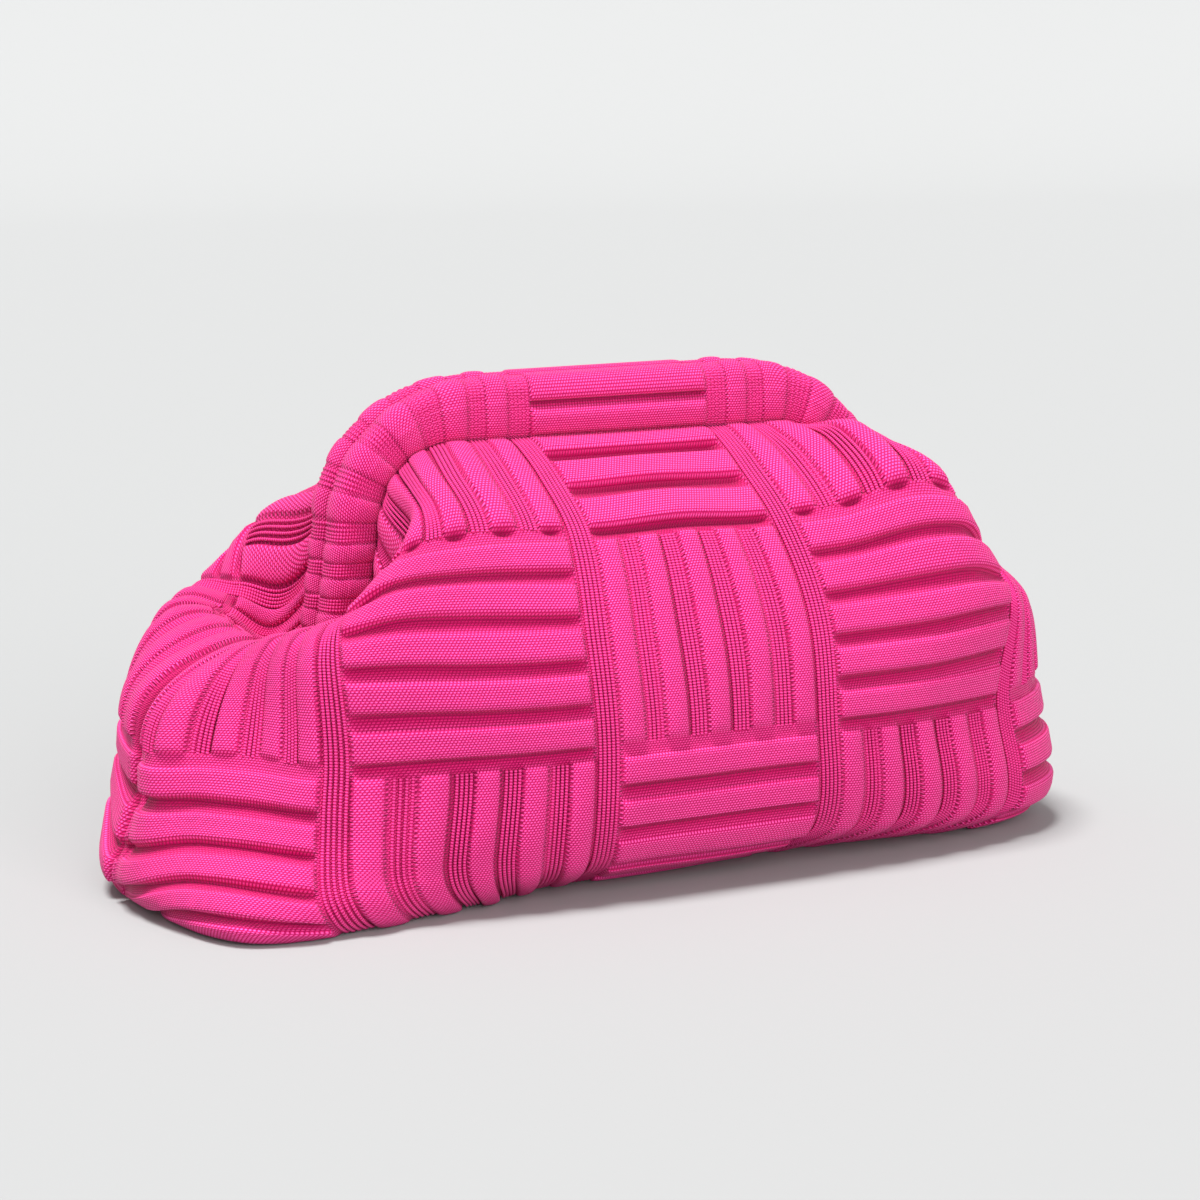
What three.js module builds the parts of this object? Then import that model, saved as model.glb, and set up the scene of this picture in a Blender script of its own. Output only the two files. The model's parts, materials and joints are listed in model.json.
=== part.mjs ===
// Soft knitted pouch bag that stands on its base, its mouth sewn over an arched clasp frame.
// Millimetres, +X along the bag, -Y towards its front, +Z up, origin at the middle of the base.
import * as THREE from 'three';

// Cloth: ten tile columns run round the bag, five on each face
const COLUMNS_PER_FACE = 5;
const HALF_FACE = COLUMNS_PER_FACE / 2;
const DIVIDER_SHARE = 0.11;
const RIBS_PER_TILE = 5;
const PLAIN_HEIGHT = 1.5;
const WALL = 3;

// Shift that brings the middle of the bag's outline over the origin
const CENTRING = { along: 7.25, back: 0 };

// Rows of tiles, as cloth distances below the seam under the mouth casing
const TILE_ROWS = [
  { name: 'top', start: 0, end: 43, ribs: 3 },
  { name: 'middle', start: 48, end: 120, ribs: RIBS_PER_TILE },
  { name: 'bottom', start: 125, end: 194, ribs: RIBS_PER_TILE },
  { name: 'base', start: 200, end: 244, ribs: 0 },
];

// Arch of the clasp frame, along the line where the casing is sewn down
const ARCH = { top: 148, halfRun: 63, cornerRadius: 28, foot: 74, lean: 6, seamDepth: 11 };
const ARCH_COLUMN_WIDTH = 78;
const ARM_END_COLUMN = 2.25;
const MOUTH_END = { along: 101, height: 65 };

// Upper rings of the cloth: a row for each section from the middle of the face to the end
const UPPER_RINGS = [
  {
    drop: 22,
    sections: [
      { column: 0, along: 0, forward: 33, height: 137 },
      { column: 0.5, along: 39, forward: 33, height: 137 },
      { column: 1, along: 84, forward: 35, height: 139 },
      { column: 1.25, along: 98, forward: 36, height: 127 },
      { column: 1.5, along: 105, forward: 36, height: 98 },
      { column: 2, along: 116, forward: 31, height: 73 },
      { column: 2.5, along: 119, forward: 0, height: 64 },
    ],
  },
  {
    drop: 46,
    sections: [
      { column: 0, along: 0, forward: 57, height: 120 },
      { column: 0.5, along: 39.5, forward: 57, height: 120 },
      { column: 1, along: 86, forward: 57, height: 126 },
      { column: 1.25, along: 107, forward: 57, height: 121 },
      { column: 1.5, along: 119, forward: 48, height: 99 },
      { column: 2, along: 134, forward: 33, height: 88 },
      { column: 2.5, along: 130, forward: 0, height: 81 },
    ],
  },
  {
    drop: 84,
    sections: [
      { column: 0, along: 0, forward: 76, height: 87 },
      { column: 0.5, along: 43, forward: 76, height: 87 },
      { column: 1, along: 89, forward: 74, height: 89 },
      { column: 1.25, along: 112, forward: 71, height: 90 },
      { column: 1.5, along: 132, forward: 63, height: 88 },
      { column: 2, along: 151, forward: 38, height: 82 },
      { column: 2.5, along: 152, forward: 0, height: 76 },
    ],
  },
];

// Lower rings: rounded oblongs, with a height for the middle of a face and one for its corners
const LOWER_RINGS = [
  { name: 'girth', drop: 122, halfLength: 165, halfDepth: 83, squareness: 2.9, middle: 53, corner: 52 },
  { name: 'foot', drop: 160, halfLength: 168, halfDepth: 80, squareness: 3.5, middle: 18, corner: 14 },
  { name: 'edge', drop: 184, halfLength: 155, halfDepth: 57, squareness: 4, middle: 4, corner: 1 },
  { name: 'sole', drop: 200, halfLength: 148, halfDepth: 45, squareness: 4, middle: 0, corner: 0 },
  { name: 'fold under', drop: 244, halfLength: 130, halfDepth: 0, squareness: 4, middle: 0, corner: 0 },
];
const CORNER_COLUMN = 1.5;

// The left end is a little fuller than the right, below its shoulder
const LEFT_END = { fuller: 6.5, columnFrom: 1, columnTo: 2.5, dropFrom: 60, dropTo: 120 };

// The soft lobes beside the mouth have settled to different heights
const LOBES = [
  { name: 'front right', face: 1, side: 1, lift: 8 },
  { name: 'back left', face: -1, side: -1, lift: -7 },
  { name: 'back right', face: -1, side: 1, lift: -13 },
];
const LOBE_COLUMNS = { from: 0.7, full: 1.1, fade: 1.6, to: 2.2 };
const LOBE_DROPS = { from: 0, full: 20, fade: 40, to: 80 };

// Folds that the soft cloth has taken, on the front or on both faces, each fading over its own width and fall
const FRONT = [1];
const BOTH = [1, -1];
const FOLDS = [
  { name: 'left foot', faces: FRONT, column: -1.8, drop: 184, width: 0.7, fall: 45, push: [-20, -26, 0] },
  { name: 'left hem', faces: FRONT, column: -1.2, drop: 184, width: 0.6, fall: 30, push: [0, -10, 0] },
  { name: 'left cheek', faces: FRONT, column: -1.9, drop: 100, width: 0.42, fall: 56, push: [7, 6, 0] },
  { name: 'left end foot', faces: BOTH, column: -2.5, drop: 178, width: 0.6, fall: 42, push: [-14, 0, 0] },
  { name: 'left end ridge', faces: FRONT, column: -2.27, drop: 120, width: 0.2, fall: 70, push: [-5, -1, 0] },
  { name: 'left end crease', faces: FRONT, column: -2.42, drop: 120, width: 0.08, fall: 70, push: [4, 2, 0] },
  { name: 'left end cheek', faces: BOTH, column: -2.5, drop: 105, width: 0.7, fall: 34, push: [-5, 0, 0] },
  { name: 'left arm hollow', faces: FRONT, column: -1.66, drop: 30, width: 0.74, fall: 30, push: [17, 0, 0] },
  { name: 'left tile edge', faces: FRONT, column: -1.5, drop: 128, width: 0.4, fall: 46, push: [-6, 0, 0] },
  { name: 'right end cheek', faces: BOTH, column: 2.4, drop: 104, width: 0.6, fall: 44, push: [4, 0, 0] },
  { name: 'right front foot', faces: FRONT, column: 1, drop: 188, width: 1.6, fall: 30, push: [0, 8, 0] },
];

// Casing over the frame: a row for each point round its section, out from the seam and forward of the mouth
const CASING_SECTION = [
  { out: 0.5, depth: 11.2, cavityOut: 0.5, cavityDepth: 9.2, rib: 0, band: 0 },
  { out: 5, depth: 13, cavityOut: 5, cavityDepth: 10, rib: 0.8, band: 1 },
  { out: 12, depth: 12.7, cavityOut: 11, cavityDepth: 10, rib: 1, band: -0.6 },
  { out: 17.2, depth: 12, cavityOut: 16.6, cavityDepth: 9.8, rib: 1, band: 1 },
  { out: 21.4, depth: 7.4, cavityOut: 18.4, cavityDepth: 7, rib: 1, band: 0.5 },
  { out: 20.4, depth: 3.6, cavityOut: 17.4, cavityDepth: 5.4, rib: 0.3, band: 0 },
  { out: 12, depth: 2.5, cavityOut: 11, cavityDepth: 5, rib: 0, band: 0 },
  { out: 0.5, depth: 2.5, cavityOut: 0.5, cavityDepth: 5, rib: 0, band: 0 },
];
const CASING_LEAN = { from: 11, to: 21 };
const CASING_RIB = 1;
const CASING_BAND = 2;
const CASING_CORNER = { slack: 0.2, columnFrom: 0.65, columnTo: 1.1 };
const CASING_RISE = 0.03;
const CASING_END_COLUMN = 2.15;
const CASING_LINES_PER_RIB = 2;

// Clasp frame: two flat arches joined by a lug at each end
const FRAME = { inner: 2.5, outer: 12.5, nearDepth: 5.6, farDepth: 9.2, endColumn: 2.2, steps: 22 };
const LUG = { height: 4, below: 0.5 };

// Colours
const KNIT_COLOUR = 0xf5359b;
const FRAME_COLOUR = 0xb9bcc2;

// Smooth steps and blends
const smooth = (edge0, edge1, value) => THREE.MathUtils.smoothstep(value, edge0, edge1);

function hermite(before, start, end, after, knots, value) {
  const [k0, k1, k2, k3] = knots;
  const gap = k2 - k1;
  const s = (value - k1) / gap;
  const startSlope = ((end - before) / (k2 - k0)) * gap;
  const endSlope = ((after - start) / (k3 - k1)) * gap;
  const s2 = s * s;
  const s3 = s2 * s;
  const placed = (2 * s3 - 3 * s2 + 1) * start + (3 * s2 - 2 * s3) * end;
  const sloped = (s3 - 2 * s2 + s) * startSlope + (s3 - s2) * endSlope;
  return placed + sloped;
}

// Point on an upper ring, its sections mirrored past the middle and past the end
function upperRingPoint(ring, column) {
  const list = ring.sections;
  const last = list.length - 1;
  const mirroredFront = { ...list[1], column: -list[1].column, along: -list[1].along };
  const past = list[last - 1];
  const mirroredEnd = { ...past, column: 2 * HALF_FACE - past.column, forward: -past.forward };
  const rows = [mirroredFront, ...list, mirroredEnd];
  let i = 1;
  while (i < rows.length - 3 && column > rows[i + 1].column) i += 1;
  const four = rows.slice(i - 1, i + 3);
  const knots = four.map((row) => row.column);
  const blend = (key) => hermite(...four.map((row) => row[key]), knots, column);
  return [blend('along'), -blend('forward'), blend('height')];
}

// Lower ring: a rounded oblong walked by its own length
const RING_SAMPLES = 400;
function oblongTable(ring) {
  const spots = [];
  let length = 0;
  for (let i = 0; i <= RING_SAMPLES; i += 1) {
    const angle = (Math.PI / 2) * (i / RING_SAMPLES);
    const x = ring.halfLength * Math.sin(angle) ** (2 / ring.squareness);
    const y = -ring.halfDepth * Math.max(Math.cos(angle), 0) ** (2 / ring.squareness);
    if (i > 0) length += Math.hypot(x - spots[i - 1].x, y - spots[i - 1].y);
    spots.push({ x, y, length });
  }
  return spots;
}
const OBLONGS = LOWER_RINGS.map(oblongTable);

function lowerRingPoint(index, column) {
  const ring = LOWER_RINGS[index];
  const spots = OBLONGS[index];
  const want = (column / HALF_FACE) * spots[RING_SAMPLES].length;
  let low = 0;
  let high = RING_SAMPLES;
  while (high - low > 1) {
    const mid = (low + high) >> 1;
    if (spots[mid].length > want) high = mid;
    else low = mid;
  }
  const share = (want - spots[low].length) / (spots[high].length - spots[low].length);
  const towardsCorner = Math.min(column / CORNER_COLUMN, 1) ** 2;
  return [
    THREE.MathUtils.lerp(spots[low].x, spots[high].x, share),
    THREE.MathUtils.lerp(spots[low].y, spots[high].y, share),
    THREE.MathUtils.lerp(ring.middle, ring.corner, towardsCorner),
  ];
}

// Arch: straight top run, round corners, arms that lean out a little
const ARCH_BEND = (ARCH.cornerRadius * Math.PI) / 2;
const ARCH_ARM = ARCH.top - ARCH.cornerRadius - ARCH.foot;
const ARCH_LENGTH = ARCH.halfRun + ARCH_BEND + ARCH_ARM;

function archPoint(column) {
  const armRate = (ARCH_LENGTH - ARCH_COLUMN_WIDTH) / (ARM_END_COLUMN - 1);
  const along = column < 1 ? column * ARCH_COLUMN_WIDTH : ARCH_COLUMN_WIDTH + (column - 1) * armRate;
  const turn = THREE.MathUtils.clamp((along - ARCH.halfRun) / ARCH.cornerRadius, 0, Math.PI / 2);
  const down = Math.max(along - ARCH.halfRun - ARCH_BEND, 0);
  const lean = (ARCH.lean * down) / ARCH_ARM;
  const x = Math.min(along, ARCH.halfRun) + ARCH.cornerRadius * Math.sin(turn) + lean;
  const z = ARCH.top - ARCH.cornerRadius * (1 - Math.cos(turn)) - down;
  return { x, z, out: [Math.sin(turn), Math.cos(turn)] };
}

function seamPoint(column) {
  if (column <= ARM_END_COLUMN) {
    const spot = archPoint(column);
    return [spot.x, -ARCH.seamDepth, spot.z];
  }
  const arm = archPoint(ARM_END_COLUMN);
  const angle = ((column - ARM_END_COLUMN) / (HALF_FACE - ARM_END_COLUMN)) * (Math.PI / 2);
  return [
    THREE.MathUtils.lerp(arm.x, MOUTH_END.along, Math.sin(angle)),
    -ARCH.seamDepth * Math.cos(angle),
    THREE.MathUtils.lerp(arm.z, MOUTH_END.height, Math.sin(angle)),
  ];
}

// Cloth surface: column -2.5 at the left end to 2.5 at the right, drop below the seam, face 1 front, -1 back
const RINGS = [...UPPER_RINGS, ...LOWER_RINGS];
const RING_DROPS = [0, ...RINGS.map((ring) => ring.drop)];
const LAST_RING = RING_DROPS.length - 1;

function ringPoint(index, column) {
  if (index === 0) return seamPoint(column);
  if (index <= UPPER_RINGS.length) return upperRingPoint(UPPER_RINGS[index - 1], column);
  return lowerRingPoint(index - 1 - UPPER_RINGS.length, column);
}

const window = (range, value) =>
  smooth(range.from, range.full, value) * (1 - smooth(range.fade, range.to, value));

function lobeLift(column, drop, face) {
  const lobe = LOBES.find((each) => each.face === face && each.side * column > 0);
  return lobe ? lobe.lift * window(LOBE_COLUMNS, Math.abs(column)) * window(LOBE_DROPS, drop) : 0;
}

function leftEndFullness(column, drop) {
  const { fuller, columnFrom, columnTo, dropFrom, dropTo } = LEFT_END;
  return fuller * smooth(columnFrom, columnTo, -column) * smooth(dropFrom, dropTo, drop);
}

function foldPush(column, drop, face) {
  const push = new THREE.Vector3();
  for (const fold of FOLDS.filter((each) => each.faces.includes(face))) {
    const across = 1 - smooth(0, fold.width, Math.abs(column - fold.column));
    const down = 1 - smooth(0, fold.fall, Math.abs(drop - fold.drop));
    push.addScaledVector(new THREE.Vector3(...fold.push), across * down);
  }
  return push;
}

function clothPoint(column, drop, face) {
  const side = column < 0 ? -1 : 1;
  let i = 0;
  while (i < LAST_RING - 1 && drop > RING_DROPS[i + 1]) i += 1;
  const indices = [Math.max(i - 1, 0), i, i + 1, Math.min(i + 2, LAST_RING)];
  const four = indices.map((index) => ringPoint(index, Math.abs(column)));
  const knots = indices.map((index) => RING_DROPS[index]);
  const [x, y, z] = [0, 1, 2].map((axis) => hermite(...four.map((spot) => spot[axis]), knots, drop));
  const spot = new THREE.Vector3(x * side, y * face, z);
  spot.x -= leftEndFullness(column, drop);
  spot.z += lobeLift(column, drop, face);
  spot.add(foldPush(column, drop, face));
  spot.z = Math.max(spot.z, 0);
  return spot;
}

// Loop coordinate runs once round the bag: 0 to 5 over the front, 5 to 10 back along the rear
const LOOP = 2 * COLUMNS_PER_FACE;
const columnAt = (loop) => (loop <= COLUMNS_PER_FACE ? loop - HALF_FACE : LOOP - HALF_FACE - loop);
const faceAt = (loop) => (loop <= COLUMNS_PER_FACE ? 1 : -1);

const NORMAL_STEP = { column: 0.01, drop: 0.5 };

function clothNormal(loop, drop) {
  const wrap = (value) => ((value % LOOP) + LOOP) % LOOP;
  const at = (where, depth) => clothPoint(columnAt(wrap(where)), depth, faceAt(wrap(where)));
  const lowDrop = Math.max(drop - NORMAL_STEP.drop, 0);
  const highDrop = Math.min(drop + NORMAL_STEP.drop, RING_DROPS[LAST_RING]);
  const across = at(loop + NORMAL_STEP.column, drop).sub(at(loop - NORMAL_STEP.column, drop));
  const down = at(loop, highDrop).sub(at(loop, lowDrop));
  return down.cross(across).normalize();
}

// Cloth lifted along its normal; what would sink below the base is pressed flat on it
function liftedPoint(loop, drop, lift) {
  const spot = clothPoint(columnAt(loop), drop, faceAt(loop));
  if (lift !== 0) spot.addScaledVector(clothNormal(loop, drop), lift);
  spot.z = Math.max(spot.z, 0);
  return spot;
}

// Mesh assembly
class Shell {
  constructor() {
    this.positions = [];
    this.index = [];
  }

  add(spot) {
    this.positions.push(spot.x, spot.y, spot.z);
    return this.positions.length / 3 - 1;
  }

  triangle(a, b, c) {
    this.index.push(a, b, c);
  }

  quad(a, b, c, d) {
    this.triangle(a, b, c);
    this.triangle(a, c, d);
  }

  // Strip between two edges that run the same way, each a list of { id, at }
  zip(first, second) {
    let i = 0;
    let j = 0;
    while (i < first.length - 1 || j < second.length - 1) {
      const secondDone = j === second.length - 1;
      const firstDone = i === first.length - 1;
      if (secondDone || (!firstDone && first[i + 1].at <= second[j + 1].at)) {
        this.triangle(first[i].id, second[j].id, first[i + 1].id);
        i += 1;
      } else {
        this.triangle(first[i].id, second[j].id, second[j + 1].id);
        j += 1;
      }
    }
  }

  geometry() {
    const geometry = new THREE.BufferGeometry();
    geometry.setAttribute('position', new THREE.Float32BufferAttribute(this.positions, 3));
    geometry.setIndex(this.index);
    geometry.computeVertexNormals();
    return geometry;
  }
}

// Ribs lie along both edges of a tile; level ribs turn in below, and a ledge rises to the next rib
const RIB_RUNS = {
  upright: { groove: 0.46, shoulders: [0.12, 0.88], low: 0.5, rise: 1.6, depth: 0.4 },
  level: { groove: 0.36, shoulders: [0.1, 0.7], low: 0.75, rise: 1.7, depth: 1.5 },
};
const PLAIN_LINES = [
  { at: 0, height: 0 },
  { at: 0.08, height: 1 },
  { at: 0.36, height: 1 },
  { at: 0.64, height: 1 },
  { at: 0.92, height: 1 },
  { at: 1, height: 0 },
];

function ribLines(ribs, run) {
  const pitch = 1 / (ribs - run.groove);
  const lines = [{ at: 0, height: 0 }];
  for (let rib = 0; rib < ribs; rib += 1) {
    for (const shoulder of run.shoulders) {
      lines.push({ at: (rib + shoulder * (1 - run.groove)) * pitch, height: run.rise });
    }
    const lowest = (rib + 1 - run.groove * (1 - run.low)) * pitch;
    if (rib < ribs - 1) lines.push({ at: lowest, height: -run.depth });
  }
  lines.push({ at: 1, height: 0 });
  return lines;
}

// On each face ribs stand upright in every other tile, and in the top row everywhere but the middle
const MIDDLE_TILE = (COLUMNS_PER_FACE - 1) / 2;

function uprightRibs(columnIndex, rowIndex) {
  const place = columnIndex % COLUMNS_PER_FACE;
  return rowIndex === 0 ? place !== MIDDLE_TILE : (place + rowIndex) % 2 === 1;
}

// Relief sinks at the seam, at the arms, where the cloth turns out from the casing, and where the bag stands
const SEAM_FADE = { dropFrom: 1, dropTo: 8 };
const ARM_FADE = { columnFrom: 0.8, columnTo: 1.1, dropFrom: 6, dropTo: 26 };
const MOUTH_END_FADE = { columnFrom: 1.7, columnTo: 2.2, dropFrom: 30, dropTo: 70 };
const STANDING_FADE = { share: 0.25, dropFrom: 175, dropTo: 194 };

function fadeNearMouth(fade, reach, drop) {
  return smooth(fade.columnFrom, fade.columnTo, reach) * (1 - smooth(fade.dropFrom, fade.dropTo, drop));
}

function reliefStrength(loop, drop) {
  const reach = Math.abs(columnAt(loop));
  const besideArm = fadeNearMouth(ARM_FADE, reach, drop);
  const mouthEnd = fadeNearMouth(MOUTH_END_FADE, reach, drop);
  const standing = STANDING_FADE.share * smooth(STANDING_FADE.dropFrom, STANDING_FADE.dropTo, drop);
  const belowSeam = smooth(SEAM_FADE.dropFrom, SEAM_FADE.dropTo, drop);
  return belowSeam * (1 - besideArm) * (1 - mouthEnd) - standing;
}

function tileGrid(shell, columnIndex, rowIndex) {
  const row = TILE_ROWS[rowIndex];
  const upright = uprightRibs(columnIndex, rowIndex);
  const ribbed = row.ribs > 0;
  const acrossLines = ribbed && upright ? ribLines(RIBS_PER_TILE, RIB_RUNS.upright) : PLAIN_LINES;
  const downLines = ribbed && !upright ? ribLines(row.ribs, RIB_RUNS.level) : PLAIN_LINES;
  const loops = acrossLines.map((line) => columnIndex + DIVIDER_SHARE / 2 + line.at * (1 - DIVIDER_SHARE));
  const drops = downLines.map((line) => THREE.MathUtils.lerp(row.start, row.end, line.at));
  const ids = drops.map((drop, j) =>
    loops.map((loop, i) => {
      const relief = ribbed ? PLAIN_HEIGHT + acrossLines[i].height * downLines[j].height : 0;
      return shell.add(liftedPoint(loop, drop, reliefStrength(loop, drop) * relief));
    }),
  );
  ids.forEach((line, j) => {
    if (j === 0) return;
    line.forEach((id, i) => {
      if (i > 0) shell.quad(ids[j - 1][i - 1], id - 1, id, ids[j - 1][i]);
    });
  });
  const lastRow = ids.length - 1;
  const lastColumn = loops.length - 1;
  return {
    top: ids[0].map((id, i) => ({ id, at: loops[i] })),
    bottom: ids[lastRow].map((id, i) => ({ id, at: loops[i] })),
    left: ids.map((line, j) => ({ id: line[0], at: drops[j] })),
    right: ids.map((line, j) => ({ id: line[lastColumn], at: drops[j] })),
  };
}

// Inner side of the cloth: a plain grid, one wall thickness in
const INNER_STEPS_PER_COLUMN = 5;
const INNER_DROPS = RING_DROPS.flatMap((drop, i) => (i ? [(RING_DROPS[i - 1] + drop) / 2, drop] : [drop]));

function innerGrid(shell) {
  const count = LOOP * INNER_STEPS_PER_COLUMN;
  return INNER_DROPS.map((drop) => {
    const line = [];
    for (let i = 0; i < count; i += 1) {
      const loop = (i + 0.5) / INNER_STEPS_PER_COLUMN;
      line.push({ id: shell.add(liftedPoint(loop, drop, -WALL)), at: loop });
    }
    return line;
  });
}

const closeLoop = (line) => [...line, { id: line[0].id, at: line[0].at + LOOP }];

function knitBody() {
  const shell = new Shell();
  const tiles = TILE_ROWS.map((row, rowIndex) =>
    Array.from({ length: LOOP }, (_, columnIndex) => tileGrid(shell, columnIndex, rowIndex)),
  );
  const lastOf = (edge) => edge[edge.length - 1];
  tiles.forEach((row, rowIndex) => {
    row.forEach((tile, columnIndex) => {
      const next = row[(columnIndex + 1) % LOOP];
      shell.zip(next.left, tile.right);
      if (rowIndex === tiles.length - 1) return;
      const below = tiles[rowIndex + 1][columnIndex];
      const belowNext = tiles[rowIndex + 1][(columnIndex + 1) % LOOP];
      shell.zip(tile.bottom, below.top);
      shell.quad(lastOf(tile.bottom).id, lastOf(below.top).id, belowNext.top[0].id, next.bottom[0].id);
    });
  });
  const inner = innerGrid(shell);
  inner.forEach((line, j) => {
    if (j === 0) return;
    line.forEach((spot, i) => {
      const k = (i + 1) % line.length;
      shell.quad(inner[j - 1][i].id, inner[j - 1][k].id, line[k].id, spot.id);
    });
  });
  const rim = tiles[0].flatMap((tile) => tile.top);
  shell.zip(closeLoop(inner[0]), closeLoop(rim));
  return shell.geometry();
}

// Casing: the section swept along the arch, ribs across it except over the middle tile
function casingStations() {
  const stations = [];
  const half = RIBS_PER_TILE * CASING_LINES_PER_RIB;
  for (let tile = 0; tile < COLUMNS_PER_FACE; tile += 1) {
    const banded = tile === MIDDLE_TILE;
    for (let i = 0; i <= half; i += banded ? half / 2 : 1) {
      const column = tile - HALF_FACE + DIVIDER_SHARE / 2 + (i / half) * (1 - DIVIDER_SHARE);
      if (Math.abs(column) < CASING_END_COLUMN) {
        stations.push({ column, rib: banded ? 0 : i % 2, band: banded ? 1 : 0 });
      }
    }
  }
  stations.unshift({ column: -CASING_END_COLUMN, rib: 0, band: 0 });
  stations.push({ column: CASING_END_COLUMN, rib: 0, band: 0 });
  return stations;
}

function archFrame(column, face) {
  const spot = archPoint(Math.abs(column));
  const side = column < 0 ? -1 : 1;
  return (out, depth) =>
    new THREE.Vector3((spot.x + spot.out[0] * out) * side, -depth * face, spot.z + spot.out[1] * out);
}

// Skin swept along stations from two lines of points, joined along both feet and at both ends
function sweptChannel(outerLines, innerLines) {
  const shell = new Shell();
  const outer = outerLines.map((line) => line.map((spot) => shell.add(spot)));
  const inner = innerLines.map((line) => line.map((spot) => shell.add(spot)));
  const points = outer[0].length - 1;
  const stations = outer.length - 1;
  for (let s = 0; s < stations; s += 1) {
    for (let p = 0; p < points; p += 1) {
      shell.quad(outer[s][p], outer[s + 1][p], outer[s + 1][p + 1], outer[s][p + 1]);
      shell.quad(inner[s][p], inner[s][p + 1], inner[s + 1][p + 1], inner[s + 1][p]);
    }
    shell.quad(outer[s][0], inner[s][0], inner[s + 1][0], outer[s + 1][0]);
    shell.quad(outer[s][points], outer[s + 1][points], inner[s + 1][points], inner[s][points]);
  }
  for (let p = 0; p < points; p += 1) {
    shell.quad(outer[0][p], outer[0][p + 1], inner[0][p + 1], inner[0][p]);
    shell.quad(outer[stations][p], inner[stations][p], inner[stations][p + 1], outer[stations][p + 1]);
  }
  return shell;
}

function flipped(shell) {
  for (let i = 0; i < shell.index.length; i += 3) {
    [shell.index[i + 1], shell.index[i + 2]] = [shell.index[i + 2], shell.index[i + 1]];
  }
  return shell;
}

function casing(face) {
  const stations = casingStations();
  const fullness = (column) => {
    const round = smooth(CASING_CORNER.columnFrom, CASING_CORNER.columnTo, Math.abs(column));
    return 1 - CASING_CORNER.slack * round + CASING_RISE * THREE.MathUtils.clamp(column, -1, 1);
  };
  const outer = stations.map((station) => {
    const place = archFrame(station.column, face);
    const full = fullness(station.column);
    return CASING_SECTION.map((row) => {
      const lift = CASING_RIB * station.rib * row.rib + CASING_BAND * station.band * row.band;
      const leaning = smooth(CASING_LEAN.from, CASING_LEAN.to, row.out);
      return place((row.out + lift * leaning) * full, row.depth + lift * (1 - leaning));
    });
  });
  const inner = stations.map((station) => {
    const place = archFrame(station.column, face);
    const full = fullness(station.column);
    return CASING_SECTION.map((row) => place(row.cavityOut * full, row.cavityDepth));
  });
  const shell = sweptChannel(outer, inner);
  return (face > 0 ? shell : flipped(shell)).geometry();
}

// Clasp frame: one loop of flat bar, along one arch, across a lug, back along the other, across a lug
function claspFrame() {
  const shell = new Shell();
  const corners = [
    { out: FRAME.inner, depth: FRAME.nearDepth, drop: 0 },
    { out: FRAME.outer, depth: FRAME.nearDepth, drop: 0 },
    { out: FRAME.outer, depth: FRAME.farDepth, drop: LUG.height },
    { out: FRAME.inner, depth: FRAME.farDepth, drop: LUG.height },
  ];
  const ring = (column, face) => {
    const place = archFrame(column, face);
    return corners.map((corner) => shell.add(place(corner.out, corner.depth)));
  };
  const mitre = (side, face) => {
    const place = archFrame(side * FRAME.endColumn, face);
    return corners.map((corner) => {
      const spot = place(corner.out, corner.depth);
      spot.z -= LUG.below + corner.drop;
      return shell.add(spot);
    });
  };
  const columns = Array.from({ length: FRAME.steps + 1 }, (_, i) =>
    THREE.MathUtils.lerp(-FRAME.endColumn, FRAME.endColumn, i / FRAME.steps),
  );
  const front = [mitre(-1, 1), ...columns.map((column) => ring(column, 1)), mitre(1, 1)];
  const back = [mitre(-1, -1), ...columns.map((column) => ring(column, -1)), mitre(1, -1)];
  const rings = [...front, ...back.reverse()];
  rings.forEach((from, i) => {
    const to = rings[(i + 1) % rings.length];
    from.forEach((id, p) => {
      const q = (p + 1) % from.length;
      shell.quad(id, from[q], to[q], to[p]);
    });
  });
  return shell.geometry();
}

// Assembly
function piece(name, geometry, finish) {
  geometry.translate(CENTRING.along, CENTRING.back, 0);
  const mesh = new THREE.Mesh(geometry, new THREE.MeshStandardMaterial(finish));
  mesh.name = name;
  return mesh;
}

const KNIT = { name: 'pink_knit', color: KNIT_COLOUR, roughness: 0.9, metalness: 0 };
const STEEL = { name: 'frame_steel', color: FRAME_COLOUR, roughness: 0.4, metalness: 1 };

const bag = new THREE.Group();
bag.name = 'pouch_bag';
bag.add(piece('knit_body', knitBody(), KNIT));
bag.add(piece('front_casing', casing(1), KNIT));
bag.add(piece('back_casing', casing(-1), KNIT));
bag.add(piece('clasp_frame', claspFrame(), STEEL));

export default bag;
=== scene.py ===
"""Soft knitted pouch bag with an arched clasp frame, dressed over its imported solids."""

import json
import logging
import math
from dataclasses import dataclass
from enum import Enum
from typing import Any, Sequence

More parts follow.
